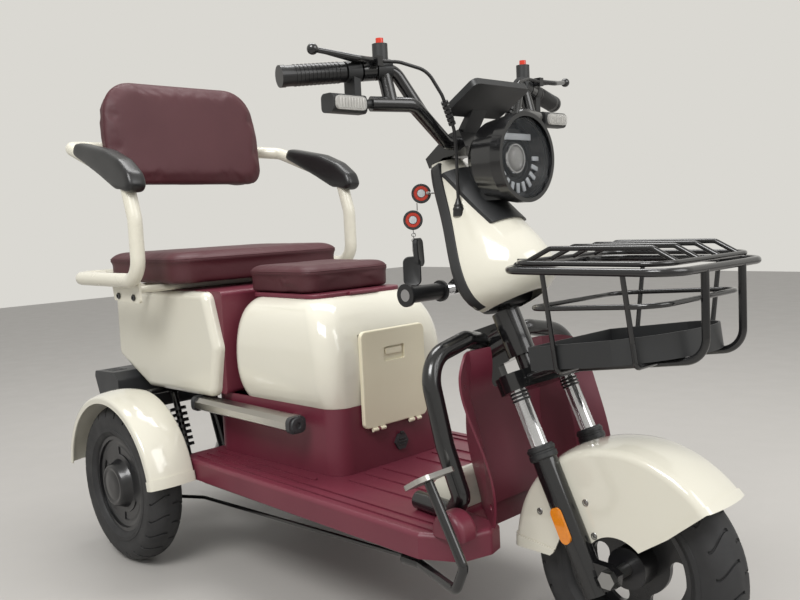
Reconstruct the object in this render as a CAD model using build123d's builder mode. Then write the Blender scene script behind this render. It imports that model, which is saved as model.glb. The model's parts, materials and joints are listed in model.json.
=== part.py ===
from build123d import *
import os
from math import atan2, cos, hypot, radians, sin

os.makedirs("parts", exist_ok=True)

# Frame: X forward, Y to the rider's left, Z up, origin on the ground below the middle of the tricycle.
# Driving dimensions in millimetres
wheelbase = 1120
rear_overhang = 292
front_overhang = 182
rear_track = 630
tyre_r = 180
tyre_w = 80
bead_r = 108
hub_r = 34
axle_r = 10
run_gap = 0.3
seat_gap = 0.3
rake_deg = 25
trail = 16
fork_half = 72
fork_ahead = 20
deck_z = 250
deck_t = 6
deck_half = 262
skirt_h = 43
rail_drop = 42
base_top_z = 385
box_top_z = 600
wall_t = 4
rail_r = 14
fender_in = 265.3
fender_out = 371
rear_rail_z = base_top_z - rail_r

rear_x = (rear_overhang - wheelbase - front_overhang) / 2


def st(ahead):
    """The X of a station this far ahead of the rear axle."""
    return rear_x + ahead


front_x = st(wheelbase)


def ft(ahead):
    """The X of a station this far ahead of the front axle, or behind it where negative."""
    return front_x + ahead


rake = radians(rake_deg)
ground_pivot_x = front_x + trail
steer_dir = (-sin(rake), 0, cos(rake))
steer_out = (cos(rake), 0, sin(rake))


def steer_point(ahead, side, up):
    """A point in the steering's own axes: ahead of the pivot line, to its side, and up along it."""
    x = ground_pivot_x + ahead * cos(rake) - up * sin(rake)
    return (x, side, ahead * sin(rake) + up * cos(rake))


def steer_plane(up, ahead=0, side=0):
    """The plane square to the steering axis at this height along it."""
    return Plane(origin=steer_point(ahead, side, up), x_dir=steer_out, z_dir=steer_dir)


def steer_side_plane():
    """The middle plane of the steering: its x is ahead of the pivot line, its y is up along it."""
    return Plane(origin=steer_point(0, 0, 0), x_dir=steer_out, z_dir=(0, -1, 0))


axle_up = tyre_r * cos(rake) + trail * sin(rake)
axle_ahead = tyre_r * sin(rake) - trail * cos(rake)


def add_tube(points, bend, diameter, bore=0):
    """Adds a round tube along straight runs joined by arcs to the part being made."""
    with BuildLine() as route:
        if len(points) == 2:
            Line(*points)
        else:
            FilletPolyline(*points, radius=bend)
    with BuildSketch(Plane(origin=route.line @ 0, z_dir=route.line % 0)) as section:
        Circle(diameter / 2)
        if bore:
            Circle(bore / 2, mode=Mode.SUBTRACT)
    sweep(sections=section.sketch, path=route.line)


def bent_tube(points, bend, diameter, bore=0):
    """A round tube along straight runs joined by arcs."""
    with BuildPart() as tube:
        add_tube(points, bend, diameter, bore)
    return tube.part


def finish_part(builder, label):
    """Labels a finished piece and writes its file."""
    builder.part.label = label
    export_step(builder.part, "parts/" + label + ".step")


# Tyres: one section turned about the axle
shoulder_r = tyre_r - 12
side_r = (bead_r + tyre_r) / 2
tread_half = tyre_w * 0.42
bead_half = 26
flange_h = 8


def make_tyre(centre):
    with BuildPart() as tyre:
        with BuildSketch(Plane(origin=centre)):
            with BuildLine():
                Line((bead_r, -bead_half), (bead_r + flange_h + 2, -bead_half))
                ThreePointArc(
                    (bead_r + flange_h + 2, -bead_half), (side_r + 6, -tyre_w / 2), (shoulder_r, -tread_half)
                )
                ThreePointArc((shoulder_r, -tread_half), (tyre_r, 0), (shoulder_r, tread_half))
                ThreePointArc(
                    (shoulder_r, tread_half), (side_r + 6, tyre_w / 2), (bead_r + flange_h + 2, bead_half)
                )
                Line((bead_r + flange_h + 2, bead_half), (bead_r, bead_half))
                Line((bead_r, bead_half), (bead_r, -bead_half))
            make_face()
        revolve(axis=Axis(centre, (0, 1, 0)))
    return tyre.part


# Rims: a barrel with two flanges, a web with three windows, and a hub
barrel_r = bead_r - seat_gap
barrel_t = 6
web_t = 9
window_r = 70
window_h = 30
window_arc = 62
with BuildSketch() as window_face:
    SlotArc(arc=CenterArc((0, 0), window_r, 0, window_arc), height=window_h)


def make_rim(centre, outer_side, hub_half, bore_r):
    """outer_side is 1 or -1: the side along Y that the spoked web faces."""
    x, y, z = centre
    web_y = y + outer_side * 12
    with BuildPart() as rim:
        with BuildSketch(Plane(origin=centre)):
            with Locations((barrel_r - barrel_t / 2, 0)):
                Rectangle(barrel_t, 2 * bead_half + 8)
            for side in (1, -1):
                with Locations((barrel_r + flange_h / 2 - barrel_t / 2, side * (bead_half + 2 + seat_gap))):
                    Rectangle(flange_h + barrel_t, 4 - seat_gap)
        revolve(axis=Axis(centre, (0, 1, 0)))
        with BuildSketch(Plane(origin=(x, web_y - web_t / 2, z), x_dir=(1, 0, 0), z_dir=(0, -1, 0))):
            Circle(barrel_r - 1)
            with PolarLocations(0, 3, start_angle=90 - window_arc / 2):
                add(window_face.sketch, mode=Mode.SUBTRACT)
        extrude(amount=-web_t)
        with BuildSketch(Plane(origin=(x, y - hub_half, z), x_dir=(1, 0, 0), z_dir=(0, -1, 0))):
            Circle(hub_r)
        extrude(amount=-2 * hub_half)
        with BuildSketch(Plane(origin=(x, y - hub_half, z), x_dir=(1, 0, 0), z_dir=(0, -1, 0))):
            Circle(bore_r)
        extrude(amount=-2 * hub_half, mode=Mode.SUBTRACT)
    return rim.part


wheel_table = (
    # name, station, side, outer side
    ("rear_left", 0, rear_track / 2, 1),
    ("rear_right", 0, -rear_track / 2, -1),
    ("front", wheelbase, 0, 1),
)
hub_half = 32
for name, ahead, side, outer in wheel_table:
    centre = (st(ahead), side, tyre_r)
    tyre = make_tyre(centre)
    tyre.label = name + "_tyre"
    export_step(tyre, "parts/" + tyre.label + ".step")
    rim = make_rim(centre, outer, hub_half, axle_r + run_gap)
    rim.label = name + "_rim"
    export_step(rim, "parts/" + rim.label + ".step")

# Rear axle: a tube with the drive unit in its middle and a pin at each end for the hubs
axle_tube_r = 19
drum_r = 62
drum_out = rear_track / 2 - hub_half - run_gap
axle_end = rear_track / 2 + hub_half + 14
drive_r = 66
drive_w = 120
swing_y = 99
shock_y = 160
with BuildPart() as rear_axle:
    with BuildSketch(Plane(origin=(st(0), 0, tyre_r), x_dir=(0, 1, 0), z_dir=(0, 0, 1))) as axle_half:
        with BuildLine():
            Polyline(
                (0, 0),
                (0, drive_r),
                (drive_w / 2 - 14, drive_r),
                (drive_w / 2, drive_r - 16),
                (drive_w / 2 + 26, axle_tube_r),
                (drum_out - 26, axle_tube_r),
                (drum_out - 26, drum_r),
                (drum_out, drum_r),
                (drum_out, axle_r),
                (axle_end, axle_r),
                (axle_end, 0),
                (0, 0),
            )
        make_face()
    revolve(axis=Axis((st(0), 0, tyre_r), (0, 1, 0)))
    mirror(about=Plane.XZ)
    with Locations((st(0) + drive_r + 16, 0, tyre_r + 8)):
        Box(70, 96, 84)
finish_part(rear_axle, "rear_axle")

# Frame: under-floor rails, rear rails that carry the seats, cross tubes and the pivot of the swing arms
floor_rail_y = 238
floor_rail_z = deck_z - rail_drop
rear_rail_y = 130
kick_x = st(190)
frame_front_x = ft(-270)
stay_x = st(-60)
stay_z = 364
stay_d = 14
pivot_x = st(150)
pivot_z = 200
pivot_d = 24
with BuildPart() as frame:
    floor_route = [
        (frame_front_x, 0, floor_rail_z),
        (frame_front_x, floor_rail_y, floor_rail_z),
        (kick_x, floor_rail_y, floor_rail_z),
        (st(120), rear_rail_y, floor_rail_z),
        (st(60), rear_rail_y, rear_rail_z),
        (st(-150), rear_rail_y, rear_rail_z),
        (st(-150), 0, rear_rail_z),
    ]
    add_tube(floor_route, 38, 2 * rail_r)
    mirror(about=Plane.XZ)
    for ahead in (300, 640):
        add_tube([(st(ahead), -floor_rail_y, floor_rail_z), (st(ahead), floor_rail_y, floor_rail_z)], 0, 22)
    for ahead in (-60, 20):
        add_tube([(st(ahead), -rear_rail_y, rear_rail_z), (st(ahead), rear_rail_y, rear_rail_z)], 0, 18)
    for side in (1, -1):
        stay_end = side * (fender_in - seat_gap)
        add_tube([(stay_x, side * rear_rail_y, stay_z), (stay_x, stay_end, stay_z)], 0, stay_d)
        with Locations((pivot_x, side * 165, (pivot_z + floor_rail_z) / 2)):
            Box(28, 8, floor_rail_z - pivot_z + 20)
    add_tube([(pivot_x, -172, pivot_z), (pivot_x, 172, pivot_z)], 0, pivot_d)
finish_part(frame, "frame")

# Rear suspension: an arm each side from the pivot tube to the axle, and a spring and damper above it
with BuildPart() as swing_arms:
    with BuildSketch(Plane.XZ.offset(-swing_y - 12)):
        with BuildLine():
            Polyline(
                (st(0), tyre_r - 27),
                (pivot_x, pivot_z - 20),
                (pivot_x + 16, pivot_z),
                (pivot_x, pivot_z + 20),
                (st(0), tyre_r + 27),
                (st(-36), tyre_r),
                close=True,
            )
        make_face()
        with Locations((st(0), tyre_r)):
            Circle(axle_tube_r + seat_gap, mode=Mode.SUBTRACT)
        with Locations((pivot_x, pivot_z)):
            Circle(pivot_d / 2 + seat_gap, mode=Mode.SUBTRACT)
    extrude(amount=24)
    mirror(about=Plane.XZ)
finish_part(swing_arms, "swing_arms")

shock_foot = Vector(st(0), shock_y, tyre_r)
shock_run = Vector(stay_x, shock_y, stay_z) - shock_foot
spring_turns = 7
spring_low = 46
spring_pitch = 15
with BuildPart() as rear_shocks:
    for centre, outer in (((st(0), tyre_r), axle_tube_r + 8), ((stay_x, stay_z), stay_d / 2 + 6)):
        with BuildSketch(Plane.XZ.offset(-shock_y - 10)):
            with Locations(centre):
                Circle(outer)
        extrude(amount=20)
    with BuildSketch(Plane(origin=shock_foot, x_dir=(0, 1, 0), z_dir=shock_run)):
        Circle(8)
    extrude(amount=shock_run.length)
    for turn in range(spring_turns):
        seat = shock_foot + shock_run.normalized() * (spring_low + turn * spring_pitch)
        with BuildSketch(Plane(origin=seat, x_dir=(0, 1, 0), z_dir=shock_run)):
            Circle(20)
        extrude(amount=8)
    for centre, shaft_r in (((st(0), tyre_r), axle_tube_r), ((stay_x, stay_z), stay_d / 2)):
        with BuildSketch(Plane.XZ.offset(-shock_y - 14)):
            with Locations(centre):
                Circle(shaft_r + seat_gap)
        extrude(amount=28, mode=Mode.SUBTRACT)
    mirror(about=Plane.XZ)
finish_part(rear_shocks, "rear_shocks")

# Neck: the tube that the steering turns in, the down tube behind the shield and its gusset
neck_low = 556
neck_high = 640
neck_r = 26
stem_r = 14
down_d = 46
down_route = [steer_point(0, 0, (neck_low + neck_high) / 2), (ft(-330), 0, 492), (ft(-272), 0, deck_z - 10)]
with BuildPart() as neck:
    add_tube(down_route, 40, down_d)
    with BuildSketch(Plane.XZ) as gusset_face:
        with BuildLine():
            Polyline((ft(-252), 566), (ft(-220), 500), (ft(-290), 415), (ft(-330), 540), close=True)
        make_face()
    extrude(amount=9, both=True)
    with BuildSketch(steer_plane(neck_low)):
        Circle(neck_r)
    extrude(amount=neck_high - neck_low)
    with BuildSketch(steer_plane(neck_low - 20)):
        Circle(stem_r + run_gap)
    extrude(amount=neck_high - neck_low + 40, mode=Mode.SUBTRACT)
    with BuildSketch(steer_plane(neck_low - 60)):
        Circle(neck_r + 30)
    extrude(amount=60, mode=Mode.SUBTRACT)
    split(bisect_by=Plane.XY.offset(deck_z + seat_gap), keep=Keep.TOP)
finish_part(neck, "neck")

# Leg guards: a hoop of tube on each side of the leg shield
hoop_d = 32
hoop_y = 200
hoop_low_z = deck_z + seat_gap + hoop_d / 2
hoop_route = [
    (ft(-290), 30, 528),
    (ft(-274), 90, 540),
    (ft(-264), hoop_y, 520),
    (ft(-232), hoop_y - 3, 380),
    (ft(-208), hoop_y - 12, 296),
    (ft(-230), hoop_y - 16, hoop_low_z),
    (ft(-320), hoop_y - 24, hoop_low_z),
]
with BuildPart() as leg_guards:
    add_tube(hoop_route, [24, 60, 90, 18, 18], hoop_d)
    mirror(about=Plane.XZ)
    add(neck.part, mode=Mode.SUBTRACT)
finish_part(leg_guards, "leg_guards")

# Foot cover: the moulding over the foot of the neck, between the hoops
foot_cover_half = 156
with BuildPart() as foot_cover:
    for inset, mode in ((0, Mode.ADD), (3, Mode.SUBTRACT)):
        with BuildSketch(Plane.XZ) as foot_side:
            with BuildLine():
                Polyline(
                    (ft(-322), deck_z + seat_gap - inset),
                    (ft(-300), 296 - inset),
                    (ft(-276), 318 - inset),
                    (ft(-256) - inset, 318 - inset),
                    (ft(-256) - inset, deck_z + seat_gap - inset),
                    close=True,
                )
            make_face()
            fillet(foot_side.vertices().group_by(Axis.Y)[-1], 12)
        extrude(amount=foot_cover_half - inset, both=True, mode=mode)
    add(bent_tube(down_route, 40, down_d + 2 * seat_gap), mode=Mode.SUBTRACT)
finish_part(foot_cover, "foot_cover")

# Floor board: a skirted deck with wings either side of the wheel, long ribs and a hump at each front corner
deck_rear_x = st(134)
notch_x = ft(-240)
notch_half = 128
deck_outline = [
    (deck_rear_x, -deck_half),
    (ft(-240), -deck_half),
    (ft(-176), -deck_half + 34),
    (ft(-160), -deck_half + 90),
    (ft(-168), -notch_half - 14),
    (notch_x, -notch_half),
    (notch_x, notch_half),
    (ft(-168), notch_half + 14),
    (ft(-160), deck_half - 90),
    (ft(-176), deck_half - 34),
    (ft(-240), deck_half),
    (deck_rear_x, deck_half),
]
rib_h = 3
rib_table = (
    # start, end, distance from the centre line, width
    (st(170), ft(-196), 236, 11),
    (st(170), ft(-206), 212, 11),
    (st(174), st(526), 186, 12),
    (st(580), ft(-330), 144, 12),
    (st(574), ft(-330), 96, 12),
    (st(574), ft(-330), 48, 12),
)
hump_r = 34


def deck_plan(inset=0):
    """The deck's outline with rounded corners, smaller all round by the inset."""
    with BuildSketch(Plane.XY.offset(deck_z - skirt_h)) as plan:
        with BuildLine():
            Polyline(*deck_outline, close=True)
        make_face()
        fillet(plan.vertices().group_by(Axis.X)[0], 40)
        fillet(plan.vertices().group_by(Axis.X)[-1], 12)
        if inset:
            offset(amount=-inset, mode=Mode.REPLACE)
    return plan.sketch


with BuildPart() as floor_board:
    extrude(deck_plan(), amount=skirt_h)
    fillet(floor_board.faces().sort_by(Axis.Z)[-1].outer_wire().edges(), 9)
    extrude(deck_plan(6), amount=skirt_h - deck_t, mode=Mode.SUBTRACT)
    with Locations((deck_rear_x, 0, deck_z - skirt_h)):
        Box(
            40,
            2 * (deck_half - 60),
            skirt_h - deck_t,
            align=(Align.CENTER, Align.CENTER, Align.MIN),
            mode=Mode.SUBTRACT,
        )
    for start, end, side, width in rib_table:
        with BuildSketch(Plane.XY.offset(deck_z - 1)):
            with Locations(((start + end) / 2, side), ((start + end) / 2, -side)):
                SlotOverall(end - start, width)
        extrude(amount=rib_h + 1)
    rail_seat_z = floor_rail_z + rail_r + seat_gap
    with BuildSketch(Plane.XY.offset(rail_seat_z)):
        with Locations(((st(210) + ft(-330)) / 2, floor_rail_y), ((st(210) + ft(-330)) / 2, -floor_rail_y)):
            Rectangle(ft(-330) - st(210), 5)
    extrude(amount=deck_z - deck_t - rail_seat_z + 1)
    with BuildPart(mode=Mode.PRIVATE) as humps:
        with BuildSketch(Plane.XZ.offset(-deck_half + 56)):
            with Locations((ft(-190), deck_z + 6)):
                Circle(hump_r)
        extrude(amount=-44)
        fillet(humps.edges(), 12)
        mirror(about=Plane.XZ)
        split(bisect_by=Plane.XY.offset(deck_z - 2), keep=Keep.TOP)
    add(humps.part)
finish_part(floor_board, "floor_board")

# Lower body: the moulded base that stands on the deck
base_rear_x = st(146)
base_front_x = st(558)
base_half_rear = 172
base_half_front = 152


def base_half(ahead):
    """The base's half width at a station."""
    share = (st(ahead) - base_rear_x) / (base_front_x - base_rear_x)
    return base_half_rear + share * (base_half_front - base_half_rear)


def plan_outline(rear, front, half_rear, half_front):
    return [(rear, -half_rear), (front, -half_front), (front, half_front), (rear, half_rear)]


def rounded_plan(height, rear, front, half_rear, half_front, corner, grow=0):
    """A body's plan at a height: four sides, a little wider at the rear, with rounded corners."""
    with BuildSketch(Plane.XY.offset(height)) as plan:
        with BuildLine():
            outline = plan_outline(rear - grow, front + grow, half_rear + grow, half_front + grow)
            Polyline(*outline, close=True)
        make_face()
        fillet(plan.vertices(), corner)
    return plan.sketch


hatch_half = 90
hatch_low_z = 336
hatch_high_z = 534
hatch_lip = 7
hatch_t = 8
hatch_x = base_front_x + 4.5
hinge_r = 3.6
hatch_hinge_x = hatch_x + hatch_t
hatch_hinge_z = hatch_low_z - hinge_r - seat_gap
hatch_ear_y = 52
hatch_ear_w = 6
with BuildPart() as lower_body:
    base_plan = (deck_z + seat_gap, base_rear_x, base_front_x, base_half_rear, base_half_front)
    extrude(rounded_plan(*base_plan, 40), amount=base_top_z - deck_z - seat_gap)
    extrude(rounded_plan(*base_plan, 36, grow=-wall_t), amount=base_top_z - deck_z, mode=Mode.SUBTRACT)
    with Locations((base_front_x, 0, (hatch_low_z + hatch_lip + base_top_z) / 2)):
        Box(60, 2 * (hatch_half - hatch_lip), base_top_z - hatch_low_z - hatch_lip, mode=Mode.SUBTRACT)
    for side in (-hatch_ear_y, hatch_ear_y):
        with BuildSketch(Plane.XZ.offset(-side - hatch_ear_w / 2)):
            with Locations((hatch_hinge_x, hatch_hinge_z)):
                Circle(hinge_r)
            with Locations(((hatch_hinge_x + base_front_x - 2) / 2, hatch_hinge_z)):
                Rectangle(hatch_hinge_x - base_front_x + 2, 2 * hinge_r)
        extrude(amount=hatch_ear_w)
finish_part(lower_body, "lower_body")

# Front box: a cream shell whose plan changes with height
box_sections = (
    # height, rear, front, half width rear, half width front, corner
    (base_top_z + seat_gap, 246, 556, 166, 152, 42),
    (430, 236, 561, 182, 166, 46),
    (505, 234, 558, 184, 168, 50),
    (562, 242, 534, 172, 156, 50),
    (box_top_z, 268, 484, 132, 122, 40),
)


def add_box_loft(inset):
    """Adds the box's lofted form, smaller all round by the inset."""
    sections = [
        rounded_plan(z, st(rear), st(front), half_rear, half_front, corner - inset / 2, grow=-inset)
        for z, rear, front, half_rear, half_front, corner in box_sections
    ]
    loft(sections)


with BuildPart() as front_box:
    add_box_loft(0)
with BuildPart() as box_inside:
    add_box_loft(wall_t)
with BuildPart() as front_box_shell:
    add(front_box.part)
    add(box_inside.part, mode=Mode.SUBTRACT)
    with Locations((st(560), 0, (hatch_low_z + hatch_high_z - hatch_lip) / 2)):
        Box(60, 2 * (hatch_half - hatch_lip), hatch_high_z - hatch_lip - hatch_low_z, mode=Mode.SUBTRACT)
finish_part(front_box_shell, "front_box")

# Hatch: a door on the front of the box, hinged along its lower edge, with a recessed pull
pull_z = hatch_high_z - 52
with BuildPart() as hatch_door:
    with BuildSketch(Plane.YZ.offset(hatch_x)) as hatch_face:
        with Locations((0, (hatch_low_z + hatch_high_z) / 2)):
            RectangleRounded(2 * hatch_half, hatch_high_z - hatch_low_z, 13)
    extrude(amount=hatch_t)
    fillet(hatch_door.faces().sort_by(Axis.X)[-1].outer_wire().edges(), 3)
    with BuildSketch(Plane.YZ.offset(hatch_x + hatch_t)):
        with Locations((0, pull_z)):
            RectangleRounded(58, 30, 4)
    extrude(amount=-5, mode=Mode.SUBTRACT)
    with BuildSketch(Plane.YZ.offset(hatch_x + hatch_t - 5)):
        with Locations((0, pull_z + 5)):
            RectangleRounded(46, 12, 4)
    extrude(amount=4)
    for side in (-hatch_ear_y, hatch_ear_y):
        for inner in (side - hatch_ear_w / 2 - seat_gap - 14, side + hatch_ear_w / 2 + seat_gap):
            with BuildSketch(Plane.XZ.offset(-inner - 14)):
                with Locations((hatch_hinge_x, hatch_hinge_z)):
                    Circle(hinge_r)
                with Locations((hatch_hinge_x - hinge_r / 2, hatch_hinge_z + hinge_r)):
                    Rectangle(hinge_r, 2 * hinge_r)
            extrude(amount=14)
finish_part(hatch_door, "hatch_door")

# Battery: a plain block low inside the base
with BuildPart() as battery:
    with Locations((st(340), 0, deck_z + seat_gap)):
        Box(280, 190, 70, align=(Align.CENTER, Align.CENTER, Align.MIN))
finish_part(battery, "battery")

# Charging port on the front of the base
with BuildPart() as charge_port:
    with BuildSketch(Plane.YZ.offset(base_front_x + seat_gap)):
        with Locations((18, 290)):
            RegularPolygon(19, 6)
    extrude(amount=5)
finish_part(charge_port, "charge_port")

# Front seat lid: pan and cushion, hinged at the pan's front edge
pan_front_x = st(480)
pan_rear_x = st(252)
pan_half = 132
pan_t = 8
lid_z = box_top_z + seat_gap
pan_hinge_x = pan_front_x + 4
with BuildPart() as seat_pan:
    extrude(rounded_plan(lid_z, pan_rear_x, pan_front_x, pan_half, pan_half - 6, 34), amount=pan_t)
    fillet(seat_pan.faces().sort_by(Axis.Z)[-1].outer_wire().edges(), 3)
    with BuildSketch(Plane.XZ.offset(-40)):
        with Locations((pan_hinge_x, lid_z + pan_t / 2)):
            Circle(pan_t / 2)
        with Locations((pan_hinge_x - 4, lid_z + pan_t / 2)):
            Rectangle(8, pan_t)
    extrude(amount=80)
finish_part(seat_pan, "seat_pan")

front_cushion_z = lid_z + pan_t + seat_gap
with BuildPart() as front_cushion:
    extrude(rounded_plan(front_cushion_z, st(228), st(452), 127, 124, 34), amount=54)
    fillet(front_cushion.faces().sort_by(Axis.Z)[-1].outer_wire().edges(), 16)
finish_part(front_cushion, "front_cushion")

# Rear body: the box under the bench, and its cream side panels
rear_body_rear_x = st(-212)
rear_body_front_x = st(224)
rear_body_half = 184
rear_body_top_z = 614
rear_body_side = [
    (rear_body_rear_x, rear_body_top_z),
    (rear_body_front_x, rear_body_top_z),
    (rear_body_front_x, base_top_z + seat_gap),
    (st(-104), base_top_z + seat_gap),
    (st(-168), 426),
    (rear_body_rear_x, 442),
]
with BuildPart() as rear_body:
    for half, inset, mode in ((rear_body_half, 0, Mode.ADD), (rear_body_half - 6, 6, Mode.SUBTRACT)):
        with BuildSketch(Plane.XZ) as body_side:
            with BuildLine():
                Polyline(*rear_body_side, close=True)
            make_face()
            fillet(body_side.vertices(), 10)
            if inset:
                offset(amount=-inset, kind=Kind.INTERSECTION, mode=Mode.REPLACE)
        extrude(amount=half, both=True, mode=mode)
finish_part(rear_body, "rear_body")

panel_outline = [
    (st(-236), 612),
    (st(190), 612),
    (st(226), 490),
    (st(200), 378),
    (st(-90), 372),
    (st(-238), 440),
]
with BuildPart() as side_panels:
    with BuildSketch(Plane.XZ.offset(-rear_body_half - seat_gap)) as panel_face:
        with BuildLine():
            Polyline(*panel_outline, close=True)
        make_face()
        fillet(panel_face.vertices(), 26)
    extrude(amount=-24)
    fillet(side_panels.faces().sort_by(Axis.Y)[-1].outer_wire().edges(), 16)
    mirror(about=Plane.XZ)
finish_part(side_panels, "rear_side_panels")

# Side rails: two-groove aluminium extrusions with moulded end caps
rail_top_z = 371.5
rail_rear_x = st(134)
rail_front_x = st(478)
with BuildPart() as side_rails:
    with BuildSketch(Plane.YZ.offset(rail_rear_x)):
        with BuildLine():
            Polyline(
                (178, rail_top_z),
                (206, rail_top_z),
                (216, rail_top_z - 8),
                (216, rail_top_z - 22),
                (206, rail_top_z - 28),
                (178, rail_top_z - 28),
                close=True,
            )
        make_face()
    extrude(amount=rail_front_x - rail_rear_x)
    for ahead in (200, 440):
        side = base_half(ahead + 12) + 0.5
        with Locations((st(ahead), (178 + side) / 2, rail_top_z - 14)):
            Box(24, 178 - side, 16)
    mirror(about=Plane.XZ)
    add(lower_body.part, mode=Mode.SUBTRACT)
finish_part(side_rails, "side_rails")

with BuildPart() as rail_caps:
    for start in (rail_rear_x - 12, rail_front_x + seat_gap):
        with BuildSketch(Plane.YZ.offset(start)):
            with Locations((197, rail_top_z - 14)):
                RectangleRounded(42, 34, 12)
        extrude(amount=12 - seat_gap)
    mirror(about=Plane.XZ)
    add(lower_body.part, mode=Mode.SUBTRACT)
finish_part(rail_caps, "rail_caps")

# Fenders: an arched section turned about the axle, with a raised lip where an end meets the air
fender_t = 3
lip_t = 2.5
lip_arc = 6


def fender_plane(angle, x):
    """The plane through an axle at this angle from level ahead: its x is the radius, its y is to the left."""
    a = radians(angle)
    return Plane(origin=(x, 0, tyre_r), x_dir=(cos(a), 0, sin(a)), z_dir=(-sin(a), 0, cos(a)))


def arch_face(near, far, low_r, edge_r, crown, corner):
    """An arch's outline across its width: two turned-down sides, rounded shoulders and a low crown."""
    with BuildSketch(mode=Mode.PRIVATE) as face:
        with BuildLine():
            Polyline((edge_r, near), (low_r, near), (low_r, far), (edge_r, far))
            ThreePointArc((edge_r, far), (edge_r + crown, (near + far) / 2), (edge_r, near))
        make_face()
        fillet(face.vertices().group_by(Axis.X)[-1], corner)
    return face.sketch


def arch_section(plane, near, far, low_r, edge_r, crown, corner, grow=0):
    """The arch's wall, thicker outwards where it grows into a lip."""
    outer = arch_face(near - grow, far + grow, low_r, edge_r + grow, crown, corner + grow)
    inner = arch_face(near + fender_t, far - fender_t, low_r, edge_r - fender_t, crown, corner - fender_t)
    with BuildSketch(plane) as section:
        add(outer)
        add(inner, mode=Mode.SUBTRACT)
    return section.sketch


rear_arch = (fender_in, fender_out, 190, 204, 10, 8)
rear_arch_start = 8
rear_arch_arc = 166
with BuildPart() as rear_fenders:
    rear_start = fender_plane(rear_arch_start, st(0))
    rear_spin = Axis((st(0), 0, tyre_r), (0, -1, 0))
    revolve(arch_section(rear_start, *rear_arch), axis=rear_spin, revolution_arc=rear_arch_arc)
    revolve(arch_section(rear_start, *rear_arch, grow=lip_t), axis=rear_spin, revolution_arc=lip_arc)
    mirror(about=Plane.XZ)
finish_part(rear_fenders, "rear_fenders")

# Tail: a slotted cover across the back, with the rear lamps in its face
tail_half = 252
tail_front_x = st(-150) - rail_r - seat_gap
tail_outline = [
    (tail_front_x, 300),
    (tail_front_x, 388),
    (st(-186), 404),
    (st(4 - rear_overhang), 400),
    (st(-rear_overhang), 386),
    (st(-262), 318),
    (st(-254), 300),
]
with BuildPart() as tail_cover:
    with BuildSketch(Plane.XZ) as tail_side:
        with BuildLine():
            Polyline(*tail_outline, close=True)
        make_face()
        fillet(tail_side.vertices(), 8)
    extrude(amount=tail_half, both=True)
    with BuildSketch(Plane.XZ):
        with BuildLine():
            Polyline(*tail_outline, close=True)
        make_face()
        offset(amount=-wall_t, kind=Kind.INTERSECTION, mode=Mode.REPLACE)
    extrude(amount=tail_half - wall_t, both=True, mode=Mode.SUBTRACT)
    with Locations((st(-214), 0, 300)):
        Box(76, 2 * (tail_half - wall_t), 12, mode=Mode.SUBTRACT)
    for side in (-tail_half + 34, tail_half - 34):
        with Locations(*[(st(ahead), side, 400) for ahead in (-262, -242, -222)]):
            Box(8, 40, 14, mode=Mode.SUBTRACT)
finish_part(tail_cover, "tail_cover")

# Tail lamps: one on each side of the cover's rear face
lamp_slope = (Vector(st(-262), 0, 318) - Vector(st(-rear_overhang), 0, 386)).normalized()
lamp_out = Vector(lamp_slope.Z, 0, -lamp_slope.X)
lamp_middle = Vector(st(-277), 0, 352)
with BuildPart() as tail_lamps:
    for side in (-tail_half + 50, tail_half - 50):
        lamp_seat = lamp_middle + lamp_out * seat_gap + Vector(0, side, 0)
        with BuildSketch(Plane(origin=lamp_seat, x_dir=(0, 1, 0), z_dir=lamp_out)):
            RectangleRounded(72, 38, 10)
        extrude(amount=7, taper=12)
finish_part(tail_lamps, "tail_lamps")

# Rear bench: cushion and backrest
cross_d = 16
bench_z = rear_body_top_z + cross_d + 2 * seat_gap
with BuildPart() as rear_cushion:
    with BuildSketch(Plane.XY.offset(bench_z)):
        with Locations((st(-35), 0)):
            RectangleRounded(350, 490, 44)
    extrude(amount=66)
    fillet(rear_cushion.faces().sort_by(Axis.Z)[-1].outer_wire().edges(), 18)
finish_part(rear_cushion, "rear_cushion")

back_lean = 8
back_rear_x = st(-216)
back_low_z = 862
back_t = 56
back_plane = Plane(
    origin=(back_rear_x, 0, back_low_z),
    x_dir=(0, 1, 0),
    z_dir=(cos(radians(back_lean)), 0, sin(radians(back_lean))),
)
with BuildPart() as seat_back:
    with BuildSketch(back_plane) as back_face:
        with BuildLine():
            Polyline((-222, 0), (222, 0), (227, 130), (212, 262), (-212, 262), (-227, 130), close=True)
        make_face()
        fillet(back_face.vertices().group_by(Axis.Y)[-1], 84)
        fillet(back_face.vertices().group_by(Axis.Y)[0], 45)
    extrude(amount=back_t)
finish_part(seat_back, "seat_back")

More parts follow.
